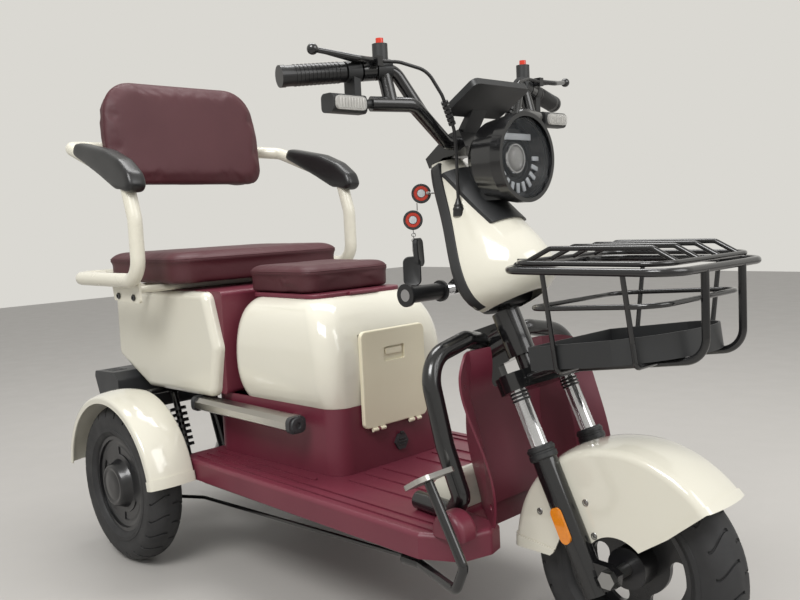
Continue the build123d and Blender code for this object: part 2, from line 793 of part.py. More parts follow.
# Seat frame: a cream tube round the seat, with armrests, flanges for its bolts and two carriers
arm_d = 32
arm_y = 308
arm_top_z = 962
arm_low_z = 645
behind_back_x = (
    back_rear_x
    - (arm_top_z - back_low_z) * sin(radians(back_lean)) / cos(radians(back_lean))
    - (arm_d / 2 + seat_gap) / cos(radians(back_lean))
)
behind_seat_x = st(-232)
arm_rear = (st(-196), arm_y, 957)
arm_front = (st(70), arm_y, 866)
arm_route = [
    (behind_back_x, 0, arm_top_z),
    (behind_back_x, 262, arm_top_z + 2),
    arm_rear,
    arm_front,
    (st(97), arm_y, 780),
    (st(97), arm_y, arm_low_z),
    (behind_seat_x, arm_y, arm_low_z),
    (behind_seat_x, 0, arm_low_z),
]
flange_y = arm_y - arm_d / 2 - 3
flange_t = 6
with BuildPart() as seat_frame:
    add_tube(arm_route, [30, 40, 50, 60, 50, 50], arm_d)
    for ahead in (-45, 45):
        carrier_z = bench_z - seat_gap - cross_d / 2
        add_tube([(st(ahead), 0, carrier_z), (st(ahead), flange_y + flange_t / 2, carrier_z)], 0, cross_d)
    with BuildSketch(Plane.XZ.offset(-flange_y - flange_t)) as flange_face:
        with BuildLine():
            Polyline(
                (st(-66), arm_low_z - 4),
                (st(66), arm_low_z - 4),
                (st(66), 592),
                (st(-56), 596),
                close=True,
            )
        make_face()
        fillet(flange_face.vertices().group_by(Axis.Y)[0], 8)
        with Locations((st(-32), 607), (st(40), 605)):
            Circle(5, mode=Mode.SUBTRACT)
    extrude(amount=flange_t)
    mirror(about=Plane.XZ)
finish_part(seat_frame, "seat_frame")

# Armrest pads: a moulded grip that lies on the tube and curls over its front bend
pad_half_w = 23
with BuildPart() as armrest_pads:
    with BuildSketch(Plane.XZ.offset(-arm_y - pad_half_w)) as pad_side:
        with BuildLine():
            Polyline(
                (st(-154), 938),
                (st(-136), 966),
                (st(6), 938),
                (st(74), 912),
                (st(118), 880),
                (st(130), 850),
                (st(112), 834),
                (st(48), 846),
                (st(-26), 882),
                (st(-62), 898),
                close=True,
            )
        make_face()
        fillet(pad_side.vertices(), 9)
    extrude(amount=2 * pad_half_w)
    fillet(armrest_pads.faces().filter_by(Axis.Y).edges(), 8)
    add(bent_tube(arm_route, [30, 40, 50, 60, 50, 50], arm_d), mode=Mode.SUBTRACT)
    mirror(about=Plane.XZ)
finish_part(armrest_pads, "armrest_pads")

# Leg shield: plan sections with forward wings and a hollow for the wheel, lofted up its height
shield_t = 5
shield_low_z = deck_z + seat_gap
shield_sections = (
    # height, outer edge, inner edge of the wing, hollow, all from the front axle, half width
    (shield_low_z, -156, -202, -232, 168),
    (316, -150, -200, -249, 173),
    (380, -168, -210, -262, 178),
    (450, -196, -232, -256, 184),
    (522, -206, -238, -254, 172),
)
wing_half = 130
hollow_half = 104
notch_w = 92
with BuildPart() as leg_shield:
    for z, edge, wing, hollow, half in shield_sections:
        with BuildSketch(Plane.XY.offset(z)):
            with BuildLine():
                front_line = [
                    (ft(edge), -half),
                    (ft(wing), -wing_half),
                    (ft(hollow), -hollow_half),
                    (ft(hollow), hollow_half),
                    (ft(wing), wing_half),
                    (ft(edge), half),
                ]
                rear_line = [(x - shield_t, y) for x, y in reversed(front_line)]
                Polyline(*front_line, *rear_line, close=True)
            make_face()
    loft()
    with BuildSketch(Plane.YZ.offset(ft(-300))) as shield_face:
        with BuildLine():
            Polyline((-190, shield_low_z), (-190, 522), (190, 522), (190, shield_low_z), close=True)
        make_face()
        fillet(shield_face.vertices().group_by(Axis.Y)[-1], 58)
        with Locations((0, 522)):
            RectangleRounded(notch_w, 150, 20, mode=Mode.SUBTRACT)
    extrude(amount=200, mode=Mode.INTERSECT)
    with Locations(*[(ft(-200), side * 155, z) for side in (1, -1) for z in (278, 472)]):
        Cylinder(5, 120, rotation=(0, 90, 0), mode=Mode.SUBTRACT)
    hoop_room = bent_tube(hoop_route, [24, 60, 90, 18, 18], hoop_d + 2 * seat_gap)
    add(hoop_room, mode=Mode.SUBTRACT)
    add(mirror(hoop_room, about=Plane.XZ, mode=Mode.PRIVATE), mode=Mode.SUBTRACT)
finish_part(leg_shield, "leg_shield")

# Foot brake: a silver plate on a bent arm that passes outside the deck, and a rod back to the drum's lever
pedal_y = 275
pedal_d = 16
pedal_z = floor_rail_z - rail_r - seat_gap - pedal_d / 2
rod_d = 8
rod_y = 200
drum_lever_y = drum_out - 26 - seat_gap
drum_lever_z = tyre_r - 52
with BuildPart() as brake_pedal:
    pedal_route = [
        (ft(-197), -pedal_y, 347),
        (ft(-130), -pedal_y, 226),
        (ft(-148), -pedal_y, pedal_z),
        (ft(-260), -floor_rail_y, pedal_z),
        (ft(-300), -floor_rail_y, pedal_z),
    ]
    add_tube(pedal_route, 14, pedal_d)
    rod_route = [
        (ft(-290), -floor_rail_y, pedal_z),
        (ft(-340), -rod_y, 168),
        (st(120), -rod_y, drum_lever_z + 6),
        (st(0), -drum_lever_y + 4, drum_lever_z),
    ]
    add_tube(rod_route, 30, rod_d)
    with BuildSketch(Plane.XZ.offset(drum_lever_y - 8)):
        with Locations((st(0), tyre_r)):
            Circle(axle_tube_r + 9)
        with Locations((st(0), (tyre_r + drum_lever_z) / 2)):
            Rectangle(16, tyre_r - drum_lever_z)
        with Locations((st(0), drum_lever_z)):
            Circle(8)
        with Locations((st(0), tyre_r)):
            Circle(axle_tube_r + seat_gap, mode=Mode.SUBTRACT)
    extrude(amount=8)
finish_part(brake_pedal, "brake_pedal")
pad_dir = (Vector(*pedal_route[0]) - Vector(*pedal_route[1])).normalized()
pad_plane = Plane(origin=Vector(*pedal_route[0]) + pad_dir * seat_gap, x_dir=(0, 1, 0), z_dir=pad_dir)
with BuildPart() as pedal_plate:
    with BuildSketch(pad_plane) as plate_face:
        with BuildLine():
            Polyline((-44, -32), (44, -32), (27, 34), (-27, 34), close=True)
        make_face()
        fillet(plate_face.vertices(), 16)
    extrude(amount=8)
finish_part(pedal_plate, "pedal_plate")

# Steering: stem and bar clamp
crown_up = 496
crown_h = 30
clamp_up = 951
clamp_ahead = 57
bar_d = 25
with BuildPart() as stem_blank:
    with BuildSketch(steer_plane(crown_up + crown_h + seat_gap)):
        Circle(stem_r)
    extrude(amount=clamp_up - crown_up - crown_h)
    with BuildSketch(steer_side_plane()) as clamp_face:
        with BuildLine():
            Polyline(
                (-20, 942),
                (-20, 962),
                (clamp_ahead - 10, 974),
                (clamp_ahead + 20, 968),
                (clamp_ahead + 20, 934),
                (clamp_ahead - 14, 934),
                (20, 942),
                close=True,
            )
        make_face()
    extrude(amount=30, both=True)

# Handlebar: a low bar with raised grip bars on each side
low_bar = steer_point(clamp_ahead, 0, clamp_up)
elbow = (ft(-317), 150, 945)
stub_end = (ft(-340), 226, 945)


def grip_point(side):
    """The middle of the grip bar at this distance from the centre line."""
    return (ft(-345) - 0.3 * (side - 190), side, 1004 - 0.1 * (side - 190))


with BuildPart() as handlebar:
    with BuildLine() as bar_route:
        FilletPolyline(
            (low_bar[0], 0, low_bar[2]), (low_bar[0], 52, low_bar[2]), elbow, stub_end, radius=30
        )
    with BuildSketch(Plane(origin=bar_route.line @ 0, z_dir=bar_route.line % 0)):
        Circle(bar_d / 2)
    sweep(path=bar_route.line)
    add_tube([grip_point(356), grip_point(172), (ft(-320), 126, 932)], 30, 22)
    strut_foot = (ft(-329), 190, 945)
    add_tube([strut_foot, grip_point(190)], 0, 24)
    mirror(about=Plane.XZ)
finish_part(handlebar, "handlebar")
with BuildPart() as steering_stem:
    add(stem_blank.part)
    add(handlebar.part, mode=Mode.SUBTRACT)
finish_part(steering_stem, "steering_stem")


def sleeve(low, high, outer, bore=22.6):
    """A round sleeve on the grip bar between two distances from the centre line."""
    return bent_tube([grip_point(low), grip_point(high)], 0, outer, bore)


with BuildPart() as brake_levers:
    add(sleeve(208, 230, 34))
    lever_root = (grip_point(219)[0] + 24, 219, 1014)
    with Locations((grip_point(219)[0] + 22, 219, 1012)):
        Box(24, 12, 16)
    ball = (ft(-346), 338, 1023)
    add_tube([lever_root, (ft(-320), 262, 1012), ball], 20, 9)
    with Locations(ball):
        Sphere(9)
    add(handlebar.part, mode=Mode.SUBTRACT)
    mirror(about=Plane.XZ)
finish_part(brake_levers, "brake_levers")

with BuildPart() as switch_pods:
    add(sleeve(179, 205, 34))
    pod = grip_point(194)
    with BuildSketch(Plane(origin=(pod[0], pod[1], pod[2] + 14))):
        Circle(13)
    extrude(amount=28)
    add(sleeve(233, 257, 34))
    block = grip_point(245)
    with Locations((block[0], block[1], block[2] - 24)):
        Box(26, 14, 34)
    add(handlebar.part, mode=Mode.SUBTRACT)
    mirror(about=Plane.XZ)
finish_part(switch_pods, "switch_pods")

with BuildPart() as horn_buttons:
    with BuildSketch(Plane(origin=(pod[0], pod[1], pod[2] + 42 + seat_gap))):
        Circle(6.5)
    extrude(amount=9)
    mirror(about=Plane.XZ)
finish_part(horn_buttons, "horn_buttons")

with BuildPart() as turn_signals:
    add_tube([(stub_end[0] - 0.1, 226.3, 945), (ft(-345), 244, 943)], 0, 15)
    with BuildSketch(Plane.XZ.offset(-243)):
        with Locations((ft(-345), 942)):
            RectangleRounded(30, 30, 8)
    extrude(amount=-72)
    add(handlebar.part, mode=Mode.SUBTRACT)
    mirror(about=Plane.XZ)
finish_part(turn_signals, "turn_signals")
with BuildPart() as signal_lenses:
    with BuildSketch(Plane.YZ.offset(ft(-330) + seat_gap)):
        with Locations((280, 942)):
            RectangleRounded(62, 22, 8)
    extrude(amount=5)
    mirror(about=Plane.XZ)
finish_part(signal_lenses, "signal_lenses")

# Column shell: D-shaped sections square to the steering axis, cream in front and black behind
shell_rear = -2
shell_sections = (
    # height along the axis, nose ahead, half width
    (neck_high + 6, 98, 58),
    (668, 120, 84),
    (760, 106, 84),
    (850, 66, 62),
    (938, 24, 42),
)


def shell_section(up, nose, half, inset=0):
    with BuildSketch(steer_plane(up)) as section:
        with BuildLine():
            Line((shell_rear, -half + inset), (shell_rear, half - inset))
            EllipticalCenterArc(
                (shell_rear, 0), nose - shell_rear - inset, half - inset, start_angle=-90, arc_size=180
            )
        make_face()
    return section.sketch


def shell_loft(inset):
    with BuildPart() as form:
        loft([shell_section(up, nose, half, inset) for up, nose, half in shell_sections])
    return form.part


shell_outer = shell_loft(0)
shell_inner = shell_loft(wall_t)
with BuildPart() as column_shell:
    add(shell_outer)
    add(shell_inner, mode=Mode.SUBTRACT)
finish_part(column_shell, "column_shell")


cover_bulge = 22


def cover_section(up, half):
    with BuildSketch(steer_plane(up)) as section:
        with BuildLine():
            seat = shell_rear - seat_gap
            Line((seat, half), (seat, -half))
            ThreePointArc((seat, -half), (shell_rear - cover_bulge, 0), (seat, half))
        make_face()
    return section.sketch


with BuildPart() as column_cover:
    loft([cover_section(up, half) for up, nose, half in shell_sections])
    key_seat = steer_point(shell_rear - cover_bulge + 4, 0, 850)
    with BuildSketch(Plane(origin=key_seat, x_dir=(0, 1, 0), z_dir=(-cos(rake), 0, -sin(rake)))):
        Circle(15)
    extrude(amount=16)
    with BuildSketch(steer_plane(neck_high)):
        Circle(stem_r + seat_gap)
    extrude(amount=clamp_up - neck_high, mode=Mode.SUBTRACT)
finish_part(column_cover, "column_cover")

# Grab bar behind the column, on an ear that is bolted through the rear cover
grab_ahead = -96
grab_up = 726
grab_x, _, grab_z = steer_point(grab_ahead, 0, grab_up)
grab_half = 130
grab_d = 22
ear_seat = shell_rear - cover_bulge - seat_gap
with BuildPart() as grab_bar:
    add_tube([(grab_x, -grab_half, grab_z), (grab_x, grab_half, grab_z)], 0, grab_d)
    with BuildSketch(steer_side_plane()):
        with BuildLine():
            Polyline(
                (ear_seat, 700),
                (ear_seat, 752),
                (grab_ahead, grab_up + 10),
                (grab_ahead, grab_up - 10),
                close=True,
            )
        make_face()
    extrude(amount=15, both=True)
finish_part(grab_bar, "grab_bar")

# Grips: a ribbed sleeve on each end of the handlebar and of the grab bar
with BuildPart() as hand_grips:
    add(sleeve(260, 358, 33))
    add(bent_tube([grip_point(358), grip_point(366)], 0, 35))
    for low, high, d in ((34, 40, 40), (40, grab_half - 6, 31), (grab_half - 6, grab_half, 42)):
        with BuildSketch(Plane.XZ.offset(-high)):
            with Locations((grab_x, grab_z)):
                Circle(d / 2)
                Circle(grab_d / 2 + 0.1, mode=Mode.SUBTRACT)
        extrude(amount=high - low)
    mirror(about=Plane.XZ)
finish_part(hand_grips, "hand_grips")

# Brake cables: from each lever's perch over the bar, through a sleeve and into the column shell
cable_d = 6
sleeve_d = 13
cable_route = [
    (ft(-322), 212.7, 1012),
    (ft(-320), 176, 1014),
    (ft(-306), 124, 1002),
    (ft(-298), 98, 962),
    (ft(-302), 66, 906),
    (ft(-306), 58, 860),
    (ft(-306), 58, 750),
]
with BuildPart() as brake_cables:
    add_tube(cable_route, [40, 44, 40, 40, 60], cable_d)
    sleeve_top, sleeve_foot = Vector(*cable_route[3]), Vector(*cable_route[4])
    for share in (0.18, 0.3, 0.42, 0.54, 0.66, 0.78):
        start = sleeve_top + (sleeve_foot - sleeve_top) * share
        with BuildSketch(Plane(origin=start, z_dir=sleeve_foot - sleeve_top)):
            Circle(sleeve_d / 2)
        extrude(amount=5)
    add(shell_loft(-seat_gap), mode=Mode.SUBTRACT)
    mirror(about=Plane.XZ)
finish_part(brake_cables, "brake_cables")

# Headlight: a saddle on the shell, a round bowl and its glass
lamp_z = 850
lamp_x = ft(-194)
lamp_r = 77
with BuildPart() as headlight_bowl:
    with BuildSketch(Plane.XZ):
        with BuildLine():
            Polyline(
                (lamp_x, lamp_z + lamp_r - 7),
                (lamp_x, lamp_z + lamp_r),
                (lamp_x - 22, lamp_z + lamp_r),
                (lamp_x - 70, lamp_z + lamp_r - 8),
                (lamp_x - 92, lamp_z + lamp_r - 26),
                (lamp_x - 96, lamp_z),
                (lamp_x - 40, lamp_z),
                (lamp_x - 34, lamp_z + lamp_r - 26),
                (lamp_x - 8, lamp_z + lamp_r - 7),
                close=True,
            )
        make_face()
    revolve(axis=Axis((lamp_x, 0, lamp_z), (1, 0, 0)))
    add(shell_loft(-1), mode=Mode.SUBTRACT)
finish_part(headlight_bowl, "headlight_bowl")
with BuildPart() as headlight_glass:
    with BuildSketch(Plane.YZ.offset(lamp_x - 7)):
        with Locations((0, lamp_z)):
            Circle(lamp_r - 7 - seat_gap)
    extrude(amount=6)
finish_part(headlight_glass, "headlight_glass")

saddle_over = 5
with BuildPart() as headlight_saddle:
    saddle_sections = [shell_section(up, nose, half, -saddle_over) for up, nose, half in shell_sections]
    loft(saddle_sections)
    add(shell_loft(-seat_gap), mode=Mode.SUBTRACT)
    with BuildSketch(steer_plane(780)):
        with Locations((70, 0)):
            Rectangle(160, 96)
    extrude(amount=130, mode=Mode.INTERSECT)
    with BuildSketch(Plane.XY.offset(780)):
        with Locations((ft(-261), 0)):
            RectangleRounded(50, 60, 12)
    extrude(amount=26)
    add(shell_loft(-seat_gap), mode=Mode.SUBTRACT)
    add(headlight_bowl.part, mode=Mode.SUBTRACT)
finish_part(headlight_saddle, "headlight_saddle")

# Instrument display: a plate tilted to the rider on a bracket from the bar clamp
display_rear = (ft(-316), 931)
display_front = (ft(-240), 976)
display_run = hypot(display_front[0] - display_rear[0], display_front[1] - display_rear[1])
display_tilt = atan2(display_front[1] - display_rear[1], display_front[0] - display_rear[0])
display_plane = Plane(
    origin=(display_rear[0], 0, display_rear[1]),
    x_dir=(cos(display_tilt), 0, sin(display_tilt)),
    z_dir=(-sin(display_tilt), 0, cos(display_tilt)),
)
with BuildPart() as display:
    with BuildSketch(display_plane):
        with Locations((display_run / 2, 0)):
            RectangleRounded(display_run, 150, 12)
    extrude(amount=12)
    with BuildSketch(Plane.XZ):
        with BuildLine():
            Polyline((ft(-344), 896), (ft(-323), 901), (ft(-292), 950), (ft(-314), 936), close=True)
        make_face()
    extrude(amount=20, both=True)
    add(steering_stem.part, mode=Mode.SUBTRACT)
    add(handlebar.part, mode=Mode.SUBTRACT)
finish_part(display, "display")

# Fork: crown, chrome tubes, lower legs, axle
tube_d = 26
leg_d = 42
leg_top = 376
with BuildPart() as fork_crown:
    with BuildSketch(steer_plane(crown_up)):
        with Locations((fork_ahead / 2, 0)):
            RectangleRounded(70, 2 * fork_half + 10, 18)
        with Locations((fork_ahead, fork_half), (fork_ahead, -fork_half)):
            Circle(23)
    extrude(amount=crown_h)
    with BuildSketch(steer_plane(crown_up)):
        with Locations((fork_ahead, fork_half), (fork_ahead, -fork_half)):
            Circle(tube_d / 2 + 0.3)
    extrude(amount=crown_h - 6, mode=Mode.SUBTRACT)
finish_part(fork_crown, "fork_crown")
with BuildPart() as fork_tubes:
    with BuildSketch(steer_plane(leg_top - 60)):
        with Locations((fork_ahead, fork_half), (fork_ahead, -fork_half)):
            Circle(tube_d / 2)
    extrude(amount=crown_up + crown_h - 6.3 - leg_top + 60)
finish_part(fork_tubes, "fork_tubes")
with BuildPart() as fork_legs:
    with BuildSketch(steer_plane(axle_up - 22)):
        with Locations((fork_ahead, fork_half), (fork_ahead, -fork_half)):
            Circle(leg_d / 2)
    extrude(amount=leg_top - axle_up + 22)
    with BuildSketch(steer_side_plane().offset(-fork_half - 8)):
        with BuildLine():
            Polyline(
                (fork_ahead, axle_up - 20),
                (axle_ahead + 4, axle_up - 17),
                (axle_ahead + 16, axle_up),
                (axle_ahead + 4, axle_up + 17),
                (fork_ahead, axle_up + 40),
                close=True,
            )
        make_face()
    extrude(amount=16)
    mirror(about=Plane.XZ)
    with BuildSketch(steer_plane(leg_top - 60 - seat_gap)):
        with Locations((fork_ahead, fork_half), (fork_ahead, -fork_half)):
            Circle(tube_d / 2 + 0.3)
    extrude(amount=100, mode=Mode.SUBTRACT)
    with Locations((front_x, 0, tyre_r)):
        Cylinder(axle_r + 0.3, 300, rotation=(90, 0, 0), mode=Mode.SUBTRACT)
finish_part(fork_legs, "fork_legs")
axle_nut = fork_half + 8.3
with BuildPart() as front_axle:
    with Locations((front_x, 0, tyre_r)):
        Cylinder(axle_r, 2 * axle_nut + 22, rotation=(90, 0, 0))
    for side in (1, -1):
        with BuildSketch(Plane.XZ.offset(-side * axle_nut)):
            with Locations((front_x, tyre_r)):
                RegularPolygon(15, 6)
        extrude(amount=-side * 12)
finish_part(front_axle, "front_axle")

# Front fender: a deep arch whose sides are cut round the fork legs, with a lip at each end
front_arch = (-62, 62, 60, 198, 10, 14)
front_arch_start = 38
front_arch_arc = 142
mud_lower_edge = [
    (ft(280), 345),
    (ft(150), 310),
    (ft(90), 260),
    (ft(39), 225),
    (ft(-16), 197),
    (ft(-40), 193),
    (ft(-62), 240),
    (ft(-94), 240),
    (ft(-119), 186),
    (ft(-135), 171),
    (ft(-214), 170),
    (ft(-222), 182),
    (ft(-300), 182),
    (ft(-300), 0),
    (ft(280), 0),
]
with BuildPart() as front_fender:
    front_spin = Axis((front_x, 0, tyre_r), (0, -1, 0))
    front_start = fender_plane(front_arch_start, front_x)
    rear_lip_start = fender_plane(front_arch_start + front_arch_arc - lip_arc, front_x)
    revolve(arch_section(front_start, *front_arch), axis=front_spin, revolution_arc=front_arch_arc)
    revolve(arch_section(front_start, *front_arch, grow=lip_t), axis=front_spin, revolution_arc=lip_arc)
    revolve(arch_section(rear_lip_start, *front_arch, grow=lip_t), axis=front_spin, revolution_arc=lip_arc)
    with BuildSketch(Plane.XZ) as mud_cut:
        with BuildLine():
            Polyline(*mud_lower_edge, close=True)
        make_face()
        with Locations((ft(-54), 286), (ft(-39), 234), (ft(-145), 252)):
            Circle(4)
    extrude(amount=100, both=True, mode=Mode.SUBTRACT)
    with BuildSketch(steer_plane(axle_up - 60)):
        with Locations((fork_ahead, fork_half), (fork_ahead, -fork_half)):
            Circle(leg_d / 2 + seat_gap)
    extrude(amount=500, mode=Mode.SUBTRACT)
finish_part(front_fender, "front_fender")

with BuildPart() as reflectors:
    reflector_plane = Plane(
        origin=steer_point(fork_ahead, fork_half + leg_d / 2 + 0.3, 268), x_dir=steer_dir, z_dir=(0, 1, 0)
    )
    with BuildSketch(reflector_plane):
        SlotOverall(60, 20)
    extrude(amount=5)
    mirror(about=Plane.XZ)
finish_part(reflectors, "reflectors")

# Basket: a wire frame and a moulded tray, both rising to the front, and a wire lid
wire_d = 12
thin_wire_d = 8
basket_rear_x = ft(-148)
basket_front_x = ft(151)
basket_half = 150
basket_top_z = 667
basket_mid_z = 606
tray_half = 120
tray_run = 250
tray_straight = 150
tray_h = 38
tray_t = 3
tray_tilt = radians(8.3)
tray_rear_x = ft(-110)


def tilted_plane(x, z, tilt):
    """A level plane through this point, tilted up towards the front."""
    return Plane(origin=(x, 0, z), x_dir=(cos(tilt), 0, sin(tilt)), z_dir=(-sin(tilt), 0, cos(tilt)))


tray_plane = tilted_plane(tray_rear_x, 505, tray_tilt)


def tray_point(along, side, up):
    """A point measured along the tray's floor, to the side and up from it."""
    return tuple(tray_plane.from_local_coords(Vector(along, side, up)))


def wire_ring(plane, length, half, corner, diameter):
    """A closed ring of wire with rounded corners that starts at the plane's origin and runs forward."""
    with BuildPart(mode=Mode.PRIVATE) as loop:
        with BuildSketch(plane, mode=Mode.PRIVATE) as outline:
            with Locations((length / 2, 0)):
                RectangleRounded(length, 2 * half, corner)
        path = outline.sketch.wires()[0]
        with BuildSketch(Plane(origin=path @ 0, z_dir=path % 0)) as section:
            Circle(diameter / 2)
        sweep(sections=section.sketch, path=path)
    return loop.part


bar_drop = -wire_d / 2 - seat_gap
bar_y = 60
mid_run = 228
mid_tilt = 0.061
mid_plane = tilted_plane(ft(-108), basket_mid_z, mid_tilt)
with BuildPart() as basket_frame:
    top_plane = Plane((basket_rear_x, 0, basket_top_z))
    add(wire_ring(top_plane, basket_front_x - basket_rear_x, basket_half, 45, wire_d))
    add(wire_ring(mid_plane, mid_run, basket_half - 14, 40, thin_wire_d))
    bar_route = [
        (basket_front_x, bar_y, basket_top_z - 1),
        tray_point((basket_front_x - tray_rear_x) / cos(tray_tilt), bar_y, bar_drop),
        tray_point(-6, bar_y, bar_drop),
        (ft(-166), bar_y, 478),
    ]
    add_tube(bar_route, [36, 20], wire_d)
    for along in (52, 190):
        rim = tray_point(along, tray_half + thin_wire_d / 2 + seat_gap, tray_h - 6)
        under = tray_point(along, tray_half + thin_wire_d / 2 + seat_gap, -thin_wire_d / 2 - seat_gap)
        middle = tray_point(along, 0, -thin_wire_d / 2 - seat_gap)
        add_tube([(rim[0], basket_half - 1, basket_top_z), rim, under, middle], 8, thin_wire_d)
    mirror(about=Plane.XZ)
    add(fork_crown.part, mode=Mode.SUBTRACT)
finish_part(basket_frame, "basket_frame")


def tray_form(inset, height):
    """The tray's plan with a rounded front, as a block from the floor's inside or outside."""
    with BuildPart(mode=Mode.PRIVATE) as form:
        with BuildSketch(tray_plane.offset(inset)) as plan:
            side = tray_half - inset
            with BuildLine():
                Polyline((tray_straight, -side), (inset, -side), (inset, side), (tray_straight, side))
                ThreePointArc((tray_straight, side), (tray_run - inset, 0), (tray_straight, -side))
            make_face()
        extrude(amount=height)
    return form.part


with BuildPart() as basket_tray:
    add(tray_form(0, tray_h))
    add(tray_form(tray_t, tray_h), mode=Mode.SUBTRACT)
finish_part(basket_tray, "basket_tray")

lid_d = 8
lid_eye_y = 92
lid_gap = 1
lid_rise = 20
lid_rear_x = basket_rear_x + 18
lid_front_x = basket_front_x - 19
rack_z = basket_top_z + (wire_d + lid_d) / 2 + lid_gap
with BuildPart() as basket_lid:
    add(wire_ring(Plane((lid_rear_x, 0, rack_z)), lid_front_x - lid_rear_x, basket_half - 6, 40, lid_d))
    for side in (-97, -32, 32, 97):
        lid_wire = [
            (lid_rear_x + 2, side, rack_z),
            (lid_rear_x + 46, side, rack_z + lid_rise),
            (lid_front_x - 40, side, rack_z + lid_rise),
            (lid_front_x - 2, side, rack_z),
        ]
        add_tube(lid_wire, 16, lid_d)
    for side in (-lid_eye_y, lid_eye_y):
        with BuildSketch(Plane.XZ.offset(-side - 6)):
            with Locations((basket_rear_x, basket_top_z)):
                Circle(wire_d / 2 + 4)
            with Locations(((basket_rear_x + lid_rear_x) / 2, rack_z)):
                Rectangle(lid_rear_x - basket_rear_x, lid_d)
            with Locations((basket_rear_x, basket_top_z)):
                Circle(wire_d / 2 + run_gap, mode=Mode.SUBTRACT)
        extrude(amount=12)
finish_part(basket_lid, "basket_lid")
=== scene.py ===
import json
from math import atan2, cos, pi, radians, sin

import bmesh
import bpy
from mathutils import Matrix, Vector


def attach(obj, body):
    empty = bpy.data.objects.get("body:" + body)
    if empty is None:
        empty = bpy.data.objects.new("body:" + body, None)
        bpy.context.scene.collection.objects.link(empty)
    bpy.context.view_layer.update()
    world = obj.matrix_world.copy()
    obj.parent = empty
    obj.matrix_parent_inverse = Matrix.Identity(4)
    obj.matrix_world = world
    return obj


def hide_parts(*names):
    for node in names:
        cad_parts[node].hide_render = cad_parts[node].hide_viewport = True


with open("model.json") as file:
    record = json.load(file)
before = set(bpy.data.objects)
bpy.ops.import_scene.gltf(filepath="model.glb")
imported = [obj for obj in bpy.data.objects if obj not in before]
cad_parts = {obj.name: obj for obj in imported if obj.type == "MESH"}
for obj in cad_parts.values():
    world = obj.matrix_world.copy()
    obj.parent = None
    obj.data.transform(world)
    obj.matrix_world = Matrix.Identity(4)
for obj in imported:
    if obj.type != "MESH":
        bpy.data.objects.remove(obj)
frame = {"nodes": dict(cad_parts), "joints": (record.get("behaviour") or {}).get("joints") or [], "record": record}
nodes = frame["nodes"]
joints = {joint["name"]: joint for joint in frame["joints"]}
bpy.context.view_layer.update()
scene = bpy.context.scene

# Camera, in metres and degrees
CAMERA_PLACE = (1.317, -1.190, 0.757)
CAMERA_AZIMUTH = 45.89
CAMERA_PITCH = 5.55
CAMERA_ROLL = -2.63
CAMERA_LENS = 38.15
SENSOR = 36.0

azimuth, pitch, roll = (radians(v) for v in (CAMERA_AZIMUTH, CAMERA_PITCH, CAMERA_ROLL))
view_back = Vector((sin(azimuth) * cos(pitch), -cos(azimuth) * cos(pitch), sin(pitch)))
view_right = (-view_back).cross(Vector((0, 0, 1))).normalized()
view_up = view_right.cross(-view_back)
rolled_right = view_right * cos(roll) + view_up * sin(roll)
rolled_up = view_up * cos(roll) - view_right * sin(roll)
camera_data = bpy.data.cameras.new("camera")
camera_data.lens = CAMERA_LENS
camera_data.sensor_width = SENSOR
camera = bpy.data.objects.new("camera", camera_data)
scene.collection.objects.link(camera)
camera.matrix_world = (
    Matrix.Translation(CAMERA_PLACE) @ Matrix((rolled_right, rolled_up, view_back)).transposed().to_4x4()
)
scene.camera = camera

# Places of the running gear and of the steering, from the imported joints
FRONT_AXLE = Vector(joints["front_spin"]["pos_m"])
LEFT_WHEEL = Vector(joints["rear_left_spin"]["pos_m"])
RIGHT_WHEEL = Vector(joints["rear_right_spin"]["pos_m"])
STEER_FOOT = Vector(joints["steer"]["pos_m"])
STEER_AXIS = Vector(joints["steer"]["axis"]).normalized()
STEER_OUT = Vector((STEER_AXIS.z, 0.0, -STEER_AXIS.x))
X_AXIS, Y_AXIS, Z_AXIS = Vector((1, 0, 0)), Vector((0, 1, 0)), Vector((0, 0, 1))
SIDES = (-1, 1)


def steer_point(ahead, side, up):
    """A point in the steering's own axes: ahead of the pivot line, to its left, and up along it."""
    return STEER_FOOT + STEER_OUT * ahead + Vector((0, side, 0)) + STEER_AXIS * up


# Materials
def linear(code):
    """An sRGB hex value as a linear colour."""
    shares = [int(code[i : i + 2], 16) / 255 for i in (1, 3, 5)]
    return tuple(s / 12.92 if s <= 0.04045 else ((s + 0.055) / 1.055) ** 2.4 for s in shares) + (1.0,)


def add_node(tree, kind, settings, links):
    """Adds a node; settings go to its sockets or properties by name, and links feed its sockets."""
    node = tree.nodes.new(kind)
    for name, value in settings.items():
        if name in node.inputs:
            node.inputs[name].default_value = value
        else:
            setattr(node, name, value)
    for name, output in links.items():
        tree.links.new(output, node.inputs[name])
    return node


def per_metre(millimetres):
    """The texture scale that gives marks of this real size."""
    return 1000.0 / millimetres


